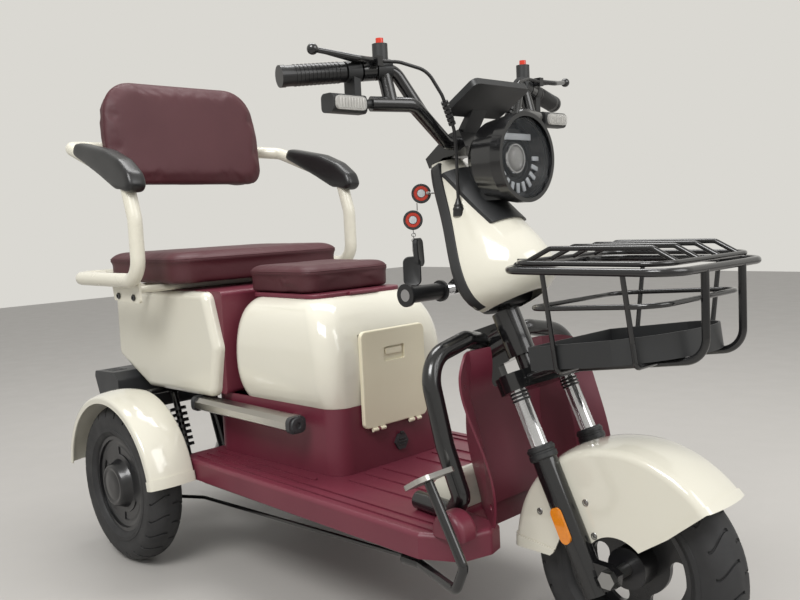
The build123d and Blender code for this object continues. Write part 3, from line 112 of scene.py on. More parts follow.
def finish_material(name, shades, gloss, patch=110, grain=1.2, depth=0.0, stretch=(1, 1, 1), **sockets):
    """A finish between two shades and two roughness values, with a grain of a real size and depth in mm."""
    material = bpy.data.materials.new(name)
    material.use_nodes = True
    tree = material.node_tree
    shader = tree.nodes["Principled BSDF"]
    for socket, value in sockets.items():
        shader.inputs[socket.replace("_", " ")].default_value = value
    place = add_node(tree, "ShaderNodeTexCoord", {}, {})
    patches = add_node(
        tree,
        "ShaderNodeTexNoise",
        {"Scale": per_metre(patch), "Detail": 4.0},
        {"Vector": place.outputs["Object"]},
    )
    tint = add_node(
        tree,
        "ShaderNodeMixRGB",
        {"Color1": linear(shades[0]), "Color2": linear(shades[1])},
        {"Fac": patches.outputs["Fac"]},
    )
    tree.links.new(tint.outputs["Color"], shader.inputs["Base Color"])
    rough = add_node(
        tree,
        "ShaderNodeMapRange",
        {"From Min": 0.3, "From Max": 0.7, "To Min": gloss[0], "To Max": gloss[1]},
        {"Value": patches.outputs["Fac"]},
    )
    tree.links.new(rough.outputs["Result"], shader.inputs["Roughness"])
    if depth:
        drawn = add_node(
            tree, "ShaderNodeMapping", {"Scale": stretch}, {"Vector": place.outputs["Object"]}
        )
        fine = add_node(
            tree,
            "ShaderNodeTexNoise",
            {"Scale": per_metre(grain), "Detail": 2.0},
            {"Vector": drawn.outputs["Vector"]},
        )
        bump = add_node(
            tree,
            "ShaderNodeBump",
            {"Strength": 0.6, "Distance": depth / 1000},
            {"Height": fine.outputs["Fac"]},
        )
        tree.links.new(bump.outputs["Normal"], shader.inputs["Normal"])
    return material


finishes = {
    # Injection-moulded ABS with a clear coat: a warm white, sharp reflections, a faint waviness
    "cream_plastic": finish_material(
        "coated_abs_cream", ("#D4D1C3", "#D0CCBC"), (0.10, 0.16),
        grain=9, depth=0.05, Coat_Weight=0.5, Coat_Roughness=0.04, IOR=1.53,
    ),
    # Powder-coated steel tube: the same cream, softer reflections with a fine orange peel
    "cream_metal": finish_material(
        "powder_coat_cream", ("#D6D2C3", "#D0CCBB"), (0.22, 0.30),
        grain=2.5, depth=0.06, Coat_Weight=0.25, Coat_Roughness=0.15, IOR=1.5,
    ),
    # Moulded polypropylene, dyed through: dark wine red, half matt, with a spark-eroded grain of about 1 mm
    "burgundy_plastic": finish_material(
        "polypropylene_wine", ("#6A2836", "#5C2230"), (0.36, 0.46), grain=1.1, depth=0.10, IOR=1.49
    ),
    # Glass-filled nylon mouldings: near black and finely textured
    "black_plastic": finish_material(
        "nylon_black", ("#252627", "#1C1D1E"), (0.42, 0.52), grain=0.9, depth=0.10, IOR=1.53
    ),
    # Recycled ABS covers: a greyer black with dust in the grain
    "dark_plastic": finish_material(
        "abs_charcoal", ("#323335", "#27282A"), (0.45, 0.58), grain=1.0, depth=0.10, IOR=1.53
    ),
    # Gloss enamel on steel: deep black, long highlights
    "black_metal": finish_material(
        "enamel_black", ("#161617", "#101011"), (0.16, 0.26),
        grain=4, depth=0.04, Coat_Weight=0.4, Coat_Roughness=0.08, IOR=1.5,
    ),
    # Moulded rubber for grips, boots and pads: black with a low sheen
    "foam_rubber": finish_material(
        "moulded_rubber", ("#1B1B1C", "#131314"), (0.28, 0.40), grain=1.3, depth=0.06, IOR=1.52
    ),
    # Vulcanised tread rubber: sooty grey black, matt, with scuffs
    "tyre": finish_material(
        "tyre_rubber", ("#2A2A2B", "#1D1D1E"), (0.55, 0.75), patch=45, grain=1.6, depth=0.15, IOR=1.52
    ),
    # Painted pressed steel of the rims and their covers: satin black
    "rim": finish_material(
        "rim_paint", ("#1E1E20", "#151516"), (0.26, 0.38), grain=3, depth=0.05, Coat_Weight=0.2, IOR=1.5
    ),
    # Anodised aluminium: pale grey, drawn lines along its length
    "satin_aluminium": finish_material(
        "anodised_aluminium", ("#C9C7C2", "#B5B3AE"), (0.26, 0.36),
        grain=1.0, depth=0.04, stretch=(0.02, 1, 1), Metallic=1.0,
    ),
    # Chrome plating: bright, with slight clouding
    "chrome": finish_material(
        "chrome_plate", ("#E2E2E3", "#D2D2D4"), (0.05, 0.12), grain=6, depth=0.01, Metallic=1.0
    ),
    # Zinc-plated steel of the axle and small parts: duller grey
    "steel": finish_material(
        "zinc_plate", ("#A9A9A8", "#8F8F8E"), (0.28, 0.42), grain=2, depth=0.03, Metallic=1.0
    ),
    # Dyed ABS push buttons and lamp covers: bright red, glossy
    "red_plastic": finish_material(
        "abs_red", ("#D2391F", "#C0301A"), (0.18, 0.26), grain=3, depth=0.03, IOR=1.53
    ),
    # Acrylic reflectors: deep amber with a sparkle of prisms about 2 mm across
    "amber_plastic": finish_material(
        "acrylic_amber", ("#E38A12", "#C96F08"), (0.10, 0.18),
        patch=4, grain=2, depth=0.3, Coat_Weight=0.8, IOR=1.49,
    ),
    # Clear acrylic lenses over grey reflectors: pale, half transparent
    "clear_lens": finish_material(
        "acrylic_clear", ("#D8D6D0", "#BDBBB6"), (0.06, 0.12),
        patch=8, grain=3, depth=0.2, Alpha=0.55, IOR=1.49,
    ),
    # Hard-coated polycarbonate in front of the lamp: almost clear, faintly smoked
    "lamp_glass": finish_material(
        "polycarbonate_clear", ("#3A3E42", "#33373B"), (0.02, 0.05),
        grain=20, depth=0.01, Alpha=0.16, IOR=1.585,
    ),
}


def make_leatherette():
    """PVC leatherette: wine brown, pebbles of 1.4 mm and creases of about 30 mm, soft highlights."""
    material = finish_material("pvc_leatherette", ("#4C2127", "#401C21"), (0.46, 0.58), patch=160, IOR=1.45)
    tree = material.node_tree
    place = add_node(tree, "ShaderNodeTexCoord", {}, {})
    pebbles = add_node(
        tree, "ShaderNodeTexVoronoi", {"Scale": per_metre(1.4)}, {"Vector": place.outputs["Object"]}
    )
    creases = add_node(
        tree,
        "ShaderNodeTexNoise",
        {"Scale": per_metre(30), "Detail": 5.0},
        {"Vector": place.outputs["Object"]},
    )
    soft = add_node(
        tree, "ShaderNodeBump", {"Strength": 0.25, "Distance": 0.0018}, {"Height": creases.outputs["Fac"]}
    )
    skin = add_node(
        tree,
        "ShaderNodeBump",
        {"Strength": 0.3, "Distance": 0.0003},
        {"Height": pebbles.outputs["Distance"], "Normal": soft.outputs["Normal"]},
    )
    tree.links.new(skin.outputs["Normal"], tree.nodes["Principled BSDF"].inputs["Normal"])
    return material


finishes["leatherette"] = make_leatherette()

# Frosted polycarbonate light guides, unlit: milky white
milky = finish_material(
    "polycarbonate_milky", ("#DDE0E2", "#CDD1D4"), (0.25, 0.35), grain=2, depth=0.05, IOR=1.585
)
# Hatch moulding without a clear coat: a little yellower and duller than its neighbours
plain_cream = finish_material(
    "abs_cream_matt", ("#D8D2BA", "#D3CBB1"), (0.30, 0.38), grain=1.2, depth=0.05, IOR=1.53
)
# Polyester sewing thread: a shade darker than the leatherette
thread = finish_material(
    "polyester_thread", ("#40191F", "#351419"), (0.5, 0.6), grain=0.6, depth=0.1, IOR=1.5
)

slot_of = {part["node"]: part["material_slot"] for part in frame["record"]["subparts"]}
for name, node in nodes.items():
    node.data.materials.clear()
    node.data.materials.append(plain_cream if name == "hatch_door" else finishes[slot_of[name]])


# Modelling steps
def take_up(piece):
    """Selects this piece alone and makes it the active one."""
    bpy.ops.object.select_all(action="DESELECT")
    piece.select_set(True)
    bpy.context.view_layer.objects.active = piece
    return piece


def choose(piece, kind, test):
    """In edit mode, selects only the vertices, edges or faces that pass the test."""
    bpy.ops.mesh.select_mode(type=kind)
    bpy.ops.mesh.select_all(action="DESELECT")
    mesh = bmesh.from_edit_mesh(piece.data)
    for element in {"VERT": mesh.verts, "EDGE": mesh.edges, "FACE": mesh.faces}[kind]:
        element.select_set(bool(test(element)))
    bmesh.update_edit_mesh(piece.data)


def turned(rings, sides=48):
    """A round solid about its own Z, drawn out ring by ring; rings are (height, radius) in mm."""
    bpy.ops.object.select_all(action="DESELECT")
    (height, radius), *others = [(h / 1000, r / 1000) for h, r in rings]
    bpy.ops.mesh.primitive_circle_add(
        vertices=sides, radius=radius, fill_type="NGON", location=(0, 0, height)
    )
    piece = bpy.context.object
    bpy.ops.object.transform_apply(location=True)
    bpy.ops.object.mode_set(mode="EDIT")
    for next_height, next_radius in others:
        bpy.ops.mesh.extrude_region_move(TRANSFORM_OT_translate={"value": (0, 0, next_height - height)})
        scale = next_radius / radius
        bpy.ops.transform.resize(value=(scale, scale, 1), center_override=(0, 0, next_height))
        height, radius = next_height, next_radius
    bpy.ops.mesh.select_all(action="SELECT")
    bpy.ops.mesh.normals_make_consistent(inside=False)
    bpy.ops.object.mode_set(mode="OBJECT")
    return piece


def slab(size):
    """A block of this size about the origin, to be shaped further."""
    bpy.ops.object.select_all(action="DESELECT")
    bpy.ops.mesh.primitive_cube_add(size=1)
    block = bpy.context.object
    block.scale = size
    bpy.ops.object.transform_apply(scale=True)
    return block


def slim_bar(length, width, thick=0.003, edge=0.0009):
    """A thin bar with rounded edges, lying along Y."""
    bar = slab((width, length, thick))
    bpy.ops.object.mode_set(mode="EDIT")
    bpy.ops.mesh.bevel(offset=edge, segments=2, affect="EDGES")
    bpy.ops.object.mode_set(mode="OBJECT")
    return bar


def set_down(piece, pose):
    """Moves a piece to its pose and applies that to its mesh."""
    take_up(piece)
    piece.matrix_world = pose
    bpy.ops.object.transform_apply(location=True, rotation=True, scale=True)
    return piece


def put(piece, place, axis=(0, 0, 1), turn=0.0):
    """Sets a piece down with its own Z along the axis, turned about it."""
    stand = Vector(axis).to_track_quat("Z", "Y").to_matrix().to_4x4()
    return set_down(piece, Matrix.Translation(place) @ stand @ Matrix.Rotation(turn, 4, "Z"))


def put_by_axes(piece, place, *directions):
    """Sets a piece down with its own X, Y and Z along three directions."""
    return set_down(piece, Matrix.Translation(place) @ Matrix(directions).transposed().to_4x4())


def again(piece):
    """A copy with a mesh of its own."""
    copy = bpy.data.objects.new(piece.name + "_copy", piece.data.copy())
    scene.collection.objects.link(copy)
    return copy


def join(parts):
    """Joins the parts into the first of them."""
    take_up(parts[0])
    for part in parts[1:]:
        part.select_set(True)
    bpy.ops.object.join()
    return bpy.context.object


def finish_with(piece, kind, **settings):
    """Adds a modifier with its settings and applies it."""
    take_up(piece)
    modifier = piece.modifiers.new(kind.lower(), kind)
    for name, value in settings.items():
        setattr(modifier, name, value)
    bpy.ops.object.modifier_apply(modifier=modifier.name)


def hand_over(piece, name, body, slot_name, material=None, replaced=(), sharp=35):
    """Names a finished piece, gives it its material and ties it to its body."""
    take_up(piece)
    bpy.ops.object.shade_smooth_by_angle(angle=radians(sharp))
    piece.name = name
    piece.data.name = name
    piece.data.materials.clear()
    piece.data.materials.append(material or finishes[slot_name])
    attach(piece, body)
    if replaced:
        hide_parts(*replaced)
    return piece


def hand_over_copies(model, places, name, body, slot_name):
    """Copies a model to each (place, axis) and hands the copies over as one piece."""
    copies = [put(again(model), place, axis) for place, axis in places]
    bpy.data.objects.remove(model)
    return hand_over(join(copies), name, body, slot_name)


# Tyres: one is spun from its section, its tread and side rings are cut in, and it is copied to each wheel
TYRE_RADIUS = 0.180
BEAD_RADIUS = 0.108
TYRE_HALF = 0.040
TREAD_ROUND = 0.030
BEAD_ROUND = 0.012
BEAD_NARROW = 0.86
LONG_EDGE = 0.012
TYRE_STEPS = 216
SIPES = 24
SIPE_COLUMNS = TYRE_STEPS // SIPES
SIPE_PITCH = 2 * pi / SIPES
SIPE_LOWEST = 0.156
SIPE_INNER, SIPE_OUTER = 0.08, 0.985
SIPE_EDGE, SIPE_DEPTH = 0.0007, 0.0030
LAG_START, LAG_GROWTH = 0.138, 0.02
RING_INNER, RING_OUTER = 0.117, 0.128
RING_EDGE, RING_RISE = 0.0010, 0.0012
NEAR = 1e-5


def lag(side, around):
    """How far the grid trails at this distance from the middle of the tread, in pitches."""
    share = min(max((around - LAG_START) / LAG_GROWTH, 0.0), 1.0)
    return share * (0.95 * side**2 - 0.45 * side)


def from_axle(place):
    """The distance from the axle, and the distance from the middle plane as a share of the half width."""
    return Vector((place.x, 0, place.z)).length, abs(place.y) / TYRE_HALF


def at_corner(vertex, radius):
    """Whether a point of the flat section is one of its corners at this radius."""
    return abs(abs(vertex.co.y) - TYRE_HALF) < NEAR and abs(vertex.co.z - radius) < NEAR


def in_sipe(face):
    """Whether a face lies in a tread groove; the two halves are set half a pitch apart."""
    centre = face.calc_center_median()
    around, side = from_axle(centre)
    if around < SIPE_LOWEST or not SIPE_INNER < side < SIPE_OUTER:
        return False
    straight = Matrix.Rotation(-lag(side, around) * SIPE_PITCH, 3, "Y") @ centre
    column = int(atan2(straight.z, straight.x) / (2 * pi) * TYRE_STEPS + TYRE_STEPS)
    return (column + (SIPE_COLUMNS // 2 if centre.y > 0 else 0)) % SIPE_COLUMNS == 0


def in_side_ring(face):
    """Whether a face lies in the raised ring on a side wall."""
    around, _ = from_axle(face.calc_center_median())
    return abs(face.normal.y) > 0.7 and RING_INNER < around < RING_OUTER


def model_tyre():
    """A tyre about the origin, on its own axle along Y."""
    bpy.ops.object.select_all(action="DESELECT")
    bpy.ops.mesh.primitive_plane_add(
        size=1, rotation=(0, pi / 2, 0), location=(0, 0, (TYRE_RADIUS + BEAD_RADIUS) / 2)
    )
    tyre = bpy.context.object
    tyre.scale = (TYRE_RADIUS - BEAD_RADIUS, 2 * TYRE_HALF, 1)
    bpy.ops.object.transform_apply(location=True, rotation=True, scale=True)
    bpy.ops.object.mode_set(mode="EDIT")
    for radius, offset, segments in ((TYRE_RADIUS, TREAD_ROUND, 9), (BEAD_RADIUS, BEAD_ROUND, 3)):
        choose(tyre, "VERT", lambda vertex: at_corner(vertex, radius))
        bpy.ops.mesh.bevel(offset=offset, segments=segments, affect="VERTICES")
    bpy.ops.mesh.select_all(action="SELECT")
    section = bmesh.from_edit_mesh(tyre.data)
    for vertex in section.verts:
        rise = (vertex.co.z - BEAD_RADIUS) / (TYRE_RADIUS - BEAD_RADIUS)
        bulge = sin(pi * min(max(rise, 0.0), 1.0)) ** 0.5
        vertex.co.y *= BEAD_NARROW + (1 - BEAD_NARROW) * bulge
    bmesh.update_edit_mesh(tyre.data)
    bpy.ops.mesh.delete(type="ONLY_FACE")
    choose(tyre, "EDGE", lambda edge: edge.calc_length() > LONG_EDGE)
    bpy.ops.mesh.subdivide(number_cuts=5)
    bpy.ops.mesh.select_all(action="SELECT")
    bpy.ops.mesh.spin(steps=TYRE_STEPS, angle=2 * pi, center=(0, 0, 0), axis=(0, 1, 0))
    bpy.ops.mesh.select_all(action="SELECT")
    bpy.ops.mesh.remove_doubles(threshold=NEAR)
    bpy.ops.mesh.normals_make_consistent(inside=False)
    bpy.ops.object.mode_set(mode="OBJECT")
    for vertex in tyre.data.vertices:
        around, side = from_axle(vertex.co)
        vertex.co = Matrix.Rotation(lag(side, around) * SIPE_PITCH, 3, "Y") @ vertex.co
    bpy.ops.object.mode_set(mode="EDIT")
    choose(tyre, "FACE", in_sipe)
    bpy.ops.mesh.inset(thickness=SIPE_EDGE, depth=-SIPE_DEPTH)
    choose(tyre, "FACE", in_side_ring)
    bpy.ops.mesh.inset(thickness=RING_EDGE, depth=RING_RISE)
    bpy.ops.object.mode_set(mode="OBJECT")
    return tyre


tyre = model_tyre()
wheels = (
    ("front", FRONT_AXLE, "front_wheel"),
    ("rear_left", LEFT_WHEEL, "rear_left_wheel"),
    ("rear_right", RIGHT_WHEEL, "rear_right_wheel"),
)
for wheel, centre, body in wheels:
    copy = again(tyre)
    copy.data.transform(Matrix.Translation(centre))
    hand_over(copy, wheel + "_tread_tyre", body, "tyre", replaced=[wheel + "_tyre"], sharp=40)
bpy.data.objects.remove(tyre)


# Cushions: each is blown up from its pad, held along its seam, and flat underneath
CLOTH_PRESSURE = 4.0
CLOTH_STIFFNESS = 12
CLOTH_FRAMES = 20
SWELL_REACH = 0.016
GROOVE_REACH = 0.0042
GROOVE_DEPTH = 0.0016
WELT_POINTS = 240
WELT_RADIUS = 0.0013
THREAD_RADIUS = 0.0006
THREAD_LIFT = 0.0001
SEAM_TO_STITCHES = 0.006


def merged_copy(node_name, name):
    """A copy of a CAD node whose loose triangles are merged."""
    piece = bpy.data.objects.new(name, nodes[node_name].data.copy())
    scene.collection.objects.link(piece)
    take_up(piece)
    bpy.ops.object.mode_set(mode="EDIT")
    bpy.ops.mesh.select_all(action="SELECT")
    bpy.ops.mesh.remove_doubles(threshold=NEAR)
    bpy.ops.object.mode_set(mode="OBJECT")
    return piece


def inflate(pad):
    """Blows the pad up by a cloth simulation and applies the result."""
    cloth = pad.modifiers.new("stuffing", "CLOTH")
    cloth.settings.use_pressure = True
    cloth.settings.uniform_pressure_force = CLOTH_PRESSURE
    cloth.settings.effector_weights.gravity = 0.0
    cloth.settings.tension_stiffness = CLOTH_STIFFNESS
    cloth.settings.compression_stiffness = CLOTH_STIFFNESS
    scene.frame_start, scene.frame_end = 1, CLOTH_FRAMES
    for step in range(1, CLOTH_FRAMES + 1):
        scene.frame_set(step)
    bpy.ops.object.modifier_apply(modifier=cloth.name)
    scene.frame_set(1)


def stuff(node_name, name, body, voxel, swell, seam, base, axis):
    """A stuffed pad from a CAD pad: its panels swell away from the seam plane, its base stays flat."""
    pad = merged_copy(node_name, name)
    upright = axis.rotation_difference(X_AXIS if axis.x else Z_AXIS).to_matrix().to_4x4()
    pad.data.transform(upright)
    finish_with(pad, "REMESH", mode="VOXEL", voxel_size=voxel)
    finish_with(pad, "SMOOTH", iterations=5)
    pad.data.transform(upright.inverted())
    start = [vertex.co.copy() for vertex in pad.data.vertices]
    inflate(pad)
    axis = axis.normalized()
    for vertex, before in zip(pad.data.vertices, start):
        move = vertex.co - before
        away = abs((before - seam).dot(axis))
        share = min(away / SWELL_REACH, 1.0)
        limit = swell * (0.05 + 0.95 * share * share * (3 - 2 * share))
        if move.length > limit:
            move = move.normalized() * limit
        groove = max(0.0, 1.0 - away / GROOVE_REACH)
        outwards = vertex.normal - axis * vertex.normal.dot(axis)
        place = before + move - outwards * GROOVE_DEPTH * groove
        below = (place - base).dot(axis)
        if below < 0:
            place = place - axis * below
        vertex.co = place
    finish_with(pad, "SUBSURF", levels=1, render_levels=1)
    hand_over(pad, name, body, "leatherette", replaced=[node_name], sharp=60)
    return pad


def seam_line(pad, centre, across, along, count, lift=0.0):
    """Points on a pad's skin all round, in the plane of two directions through the centre."""
    bpy.context.view_layer.update()
    points = []
    for i in range(count):
        way = across * cos(2 * pi * i / count) + along * sin(2 * pi * i / count)
        hit, place, normal, _ = pad.ray_cast(centre + way, -way)
        if hit:
            points.append(place + normal * lift)
    return points


def cord_mesh(lines, radius, closed):
    """A mesh of round threads along the given lines of points."""
    curve = bpy.data.curves.new("thread", "CURVE")
    curve.dimensions = "3D"
    curve.bevel_depth = radius
    curve.bevel_resolution = 2
    curve.use_fill_caps = True
    for points in lines:
        spline = curve.splines.new("POLY")
        spline.points.add(len(points) - 1)
        for point, place in zip(spline.points, points):
            point.co = (*place, 1.0)
        spline.use_cyclic_u = closed
    piece = bpy.data.objects.new("thread", curve)
    scene.collection.objects.link(piece)
    take_up(piece)
    bpy.ops.object.convert(target="MESH")
    return bpy.context.object


def sew(pad, name, body, centre, across, along, axis, stitch_count):
    """The seam's welt and, beside it, a row of short stitches."""
    welt = cord_mesh([seam_line(pad, centre, across, along, WELT_POINTS)], WELT_RADIUS, True)
    hand_over(welt, name + "_welt", body, "leatherette", sharp=60)
    beside = centre - axis * SEAM_TO_STITCHES
    row = seam_line(pad, beside, across, along, 2 * stitch_count, THREAD_LIFT)
    stitches = cord_mesh([row[i : i + 2] for i in range(0, len(row) - 1, 2)], THREAD_RADIUS, False)
    hand_over(stitches, name + "_stitches", body, "leatherette", material=thread, sharp=60)


LEAN = radians(8)
BACK_NORMAL = Vector((cos(LEAN), 0, sin(LEAN)))
BACK_UP = Vector((-sin(LEAN), 0, cos(LEAN)))
BACK_CENTRE = Vector((-0.721, 0, 0.862))
BACK_THICK = 0.056
FRONT_SEAM = Vector((-0.165, 0, 0.6535))
FRONT_BASE = Vector((0, 0, 0.6088))
REAR_SEAM = Vector((-0.540, 0, 0.6865))
REAR_BASE = Vector((0, 0, 0.6308))
BACK_SEAM = BACK_CENTRE + BACK_NORMAL * (BACK_THICK - 0.014)
BACK_BASE = BACK_CENTRE + BACK_NORMAL * 0.0005

# node, name, body, voxel, swell, seam and base, directions across, along and through the pad, stitches
for node_name, name, body, voxel, swell, (seam, base), (across, along, axis), stitch_count in (
    (
        "front_cushion", "front_seat", "front_seat", 0.005, 0.006,
        (FRONT_SEAM, FRONT_BASE), (X_AXIS, Y_AXIS, Z_AXIS), 130,
    ),
    (
        "rear_cushion", "rear_seat", "root", 0.006, 0.008,
        (REAR_SEAM, REAR_BASE), (X_AXIS, Y_AXIS, Z_AXIS), 220,
    ),
    (
        "seat_back", "seat_back", "root", 0.006, 0.009,
        (BACK_SEAM, BACK_BASE), (Y_AXIS, BACK_UP, BACK_NORMAL), 190,
    ),
):
    pad = stuff(node_name, name + "_pad", body, voxel, swell, seam, base, axis)
    sew(pad, name, body, seam, across, along, axis, stitch_count)

# Armrest pads: the moulded forms with every edge rounded
armrests = merged_copy("armrest_pads", "armrest_mouldings")
finish_with(armrests, "REMESH", mode="VOXEL", voxel_size=0.0030)
finish_with(armrests, "SMOOTH", iterations=70)
hand_over(armrests, "armrest_mouldings", "root", "foam_rubber", replaced=["armrest_pads"], sharp=80)

# Headlight: a stepped black bowl with a projector, eleven light guides round its foot and a bar above
LAMP_BACK = 0.3825
LAMP_HEIGHT = 0.850
BEZEL_BACK = LAMP_BACK + 0.0065
DOME_BACK = LAMP_BACK + 0.0092
GLASS_BACK = 0.4142
GUIDE_BACK = LAMP_BACK + 0.0150
GUIDE_LENGTH, GUIDE_WIDTH = 0.019, 0.0080
GUIDE_RADIUS = 0.052
GUIDE_COUNT = 11
GUIDE_STEP = 18
TOP_BAR_LENGTH, TOP_BAR_WIDTH = 0.078, 0.011
TOP_BAR_UP = 0.037
LEVEL = pi / 2

bowl = turned(
    [(0, 66), (27, 69), (27, 67), (6, 58), (6, 44), (9, 42), (9, 38), (5, 36), (5, 31), (7, 30), (7, 28)], 72
)
hand_over(put(bowl, (LAMP_BACK, 0, LAMP_HEIGHT), X_AXIS), "lamp_bowl", "steering", "black_plastic")
bezel = turned([(0, 27), (5, 27), (7, 25.5), (7, 23), (3, 21), (3, 10)], 60)
put(bezel, (BEZEL_BACK, 0, LAMP_HEIGHT), X_AXIS)
hand_over(bezel, "projector_bezel", "steering", "chrome")
dome = turned([(0, 21), (4, 20.2), (7, 17.5), (9, 13), (10.4, 7), (10.8, 1.5)], 48)
put(dome, (DOME_BACK, 0, LAMP_HEIGHT), X_AXIS)
hand_over(dome, "projector_lens", "steering", "clear_lens", sharp=60)

guides = []
for i in range(GUIDE_COUNT):
    angle = radians(-90 + GUIDE_STEP * (i - GUIDE_COUNT // 2))
    out = Vector((0, cos(angle), sin(angle)))
    place = Vector((GUIDE_BACK, 0, LAMP_HEIGHT)) + out * GUIDE_RADIUS
    guide = slim_bar(GUIDE_LENGTH, GUIDE_WIDTH)
    guides.append(put_by_axes(guide, place, out.cross(X_AXIS), out, X_AXIS))
top_bar = slim_bar(TOP_BAR_LENGTH, TOP_BAR_WIDTH)
guides.append(put(top_bar, (GUIDE_BACK, 0, LAMP_HEIGHT + TOP_BAR_UP), X_AXIS, LEVEL))
hand_over(join(guides), "lamp_light_guides", "steering", "clear_lens", material=milky)
glass = turned([(0, 69.6), (2, 69.2), (3.5, 66), (5, 58), (6.2, 44), (6.8, 25), (6.9, 2)], 72)
put(glass, (GLASS_BACK, 0, LAMP_HEIGHT), X_AXIS)
hand_over(glass, "lamp_cover_glass", "steering", "lamp_glass", replaced=["headlight_glass"], sharp=60)

# Fork: fluted chrome sleeves, three rings under the crown and a ribbed seal on each leg
FORK_AHEAD = 0.020
FORK_SIDE = 0.072
FLUTES_ROUND = 44


def model_sleeve():
    """A chrome sleeve whose side faces are raised one by one into flutes."""
    sleeve = turned([(0, 13.3), (118, 13.3)], FLUTES_ROUND)
    take_up(sleeve)
    bpy.ops.object.mode_set(mode="EDIT")
    choose(sleeve, "FACE", lambda face: abs(face.normal.z) < 0.5)
    bpy.ops.mesh.inset(thickness=0.00035, depth=0.0006, use_individual=True)
    bpy.ops.object.mode_set(mode="OBJECT")
    return sleeve


sleeve = model_sleeve()
seal = turned(
    [
        (0, 21.3), (3, 24.2), (10, 24.2), (11, 22.8), (14, 22.8), (15, 24), (20, 24), (21.5, 22),
        (24, 21), (24, 13.9),
    ]
)
ring = turned([(-1.8, 13.4), (-1.8, 15.2), (-0.8, 16), (0.8, 16), (1.8, 15.2), (1.8, 13.4)])
for name, model, slot_name, heights in (
    ("fork_sleeves", sleeve, "chrome", (0.377,)),
    ("fork_seals", seal, "black_plastic", (0.3745,)),
    ("fork_rings", ring, "black_plastic", (0.479, 0.485, 0.491)),
):
    places = [
        (steer_point(FORK_AHEAD, side * FORK_SIDE, up), STEER_AXIS) for side in SIDES for up in heights
    ]
    hand_over_copies(model, places, name, "steering", slot_name)

# Grip ribs, along both hand grips and both grips of the grab bar
GRIP_BACK = 0.3
GRIP_DROP = 0.1
GRIP_X, GRIP_START, GRIP_Z = 0.270, 0.190, 1.004
FIRST_RIB, RIB_STEP, RIB_COUNT = 0.270, 0.0065, 12
GRAB_X, GRAB_START, GRAB_Z = 0.237, 0.052, 0.617
GRAB_STEP, GRAB_COUNT = 0.010, 7
rib = turned([(-2, 15.6), (-1.2, 17.3), (1.2, 17.3), (2, 15.6)], 36)
bar_rib = turned([(-2.2, 11), (-1.4, 14.4), (1.4, 14.4), (2.2, 11)], 36)
ribs = []
for side in SIDES:
    for i in range(RIB_COUNT):
        along = FIRST_RIB + RIB_STEP * i - GRIP_START
        place = (GRIP_X - GRIP_BACK * along, side * (GRIP_START + along), GRIP_Z - GRIP_DROP * along)
        ribs.append(put(again(rib), place, Vector((-GRIP_BACK, side, -GRIP_DROP))))
    for i in range(GRAB_COUNT):
        place = (GRAB_X, side * (GRAB_START + GRAB_STEP * i), GRAB_Z)
        ribs.append(put(again(bar_rib), place, Y_AXIS))
hand_over(join(ribs), "grip_ribs", "steering", "foam_rubber")
for model in (rib, bar_rib):
    bpy.data.objects.remove(model)

# Keys: a tag in the lock, a second tag and two black fobs hanging from it on a chain
TAG_AXIS = Vector((0.68, -0.72, 0.1)).normalized()
tag = turned(
    [
        (-3, 15), (-3, 17.5), (-2, 18.5), (2, 18.5), (3, 17.5), (3, 14.5), (2.2, 14.2), (2.2, 8),
        (2.8, 7.6), (2.8, 1),
    ]
)
tag_ring = turned([(2.0, 14), (2.6, 13.8), (2.6, 8.4), (2.0, 8.2)])
tag_face = turned([(2.0, 7.4), (3.1, 7.2), (3.3, 6), (3.3, 1)])
for label, centre in (("upper", (0.197, -0.036, 0.800)), ("lower", (0.186, -0.050, 0.751))):
    for model, ending, slot_name, material in (
        (tag, "_key_tag", "dark_plastic", None),
        (tag_ring, "_tag_ring", "red_plastic", None),
        (tag_face, "_tag_face", "clear_lens", milky),
    ):
        copy = put(again(model), centre, TAG_AXIS)
        hand_over(copy, label + ending, "steering", slot_name, material=material)
for model in (tag, tag_ring, tag_face):
    bpy.data.objects.remove(model)


def link_ring(centre, radius, wire, axis):
    """A wire ring of the chain, square to the axis."""
    bpy.ops.object.select_all(action="DESELECT")
    bpy.ops.mesh.primitive_torus_add(
        major_radius=radius, minor_radius=wire, major_segments=20, minor_segments=8
    )
    return put(bpy.context.object, centre, axis)


LINK_COUNT, LINK_STEP = 5, 0.0052
LINK_RADIUS, LINK_WIRE = 0.0036, 0.0008
chain = [link_ring((0.1915, -0.043, 0.7755), 0.0065, 0.0009, Vector((1, 1, 0)))]
for i in range(LINK_COUNT):
    axis = TAG_AXIS if i % 2 else Vector((1, 1, 0.2))
    chain.append(link_ring((0.187, -0.051, 0.7285 - LINK_STEP * i), LINK_RADIUS, LINK_WIRE, axis))
chain.append(link_ring((0.189, -0.053, 0.694), 0.0105, 0.0010, Vector((1, 0.6, 0.1))))
key_blade = turned([(0, 3.2), (6, 3.2), (7, 2.0), (34, 2.0), (36, 1.2)], 12)
chain.append(put(key_blade, (0.208, -0.032, 0.800), Vector((1, 0.25, 0))))
hand_over(join(chain), "key_chain", "steering", "steel")


def model_fob(width, height, thick):
    """A key fob: a rounded slab with a sunk face."""
    fob = slab((width, height, thick))
    bpy.ops.object.mode_set(mode="EDIT")
    choose(fob, "EDGE", lambda edge: abs(edge.verts[0].co.z - edge.verts[1].co.z) > thick / 2)
    bpy.ops.mesh.bevel(offset=width * 0.36, segments=6, affect="EDGES")
    choose(fob, "FACE", lambda face: abs(face.normal.z) > 0.9)
    bpy.ops.mesh.inset(thickness=0.002, depth=0.0015)
    bpy.ops.mesh.inset(thickness=0.0015, depth=-0.0008)
    bpy.ops.object.mode_set(mode="OBJECT")
    return fob


fobs = []
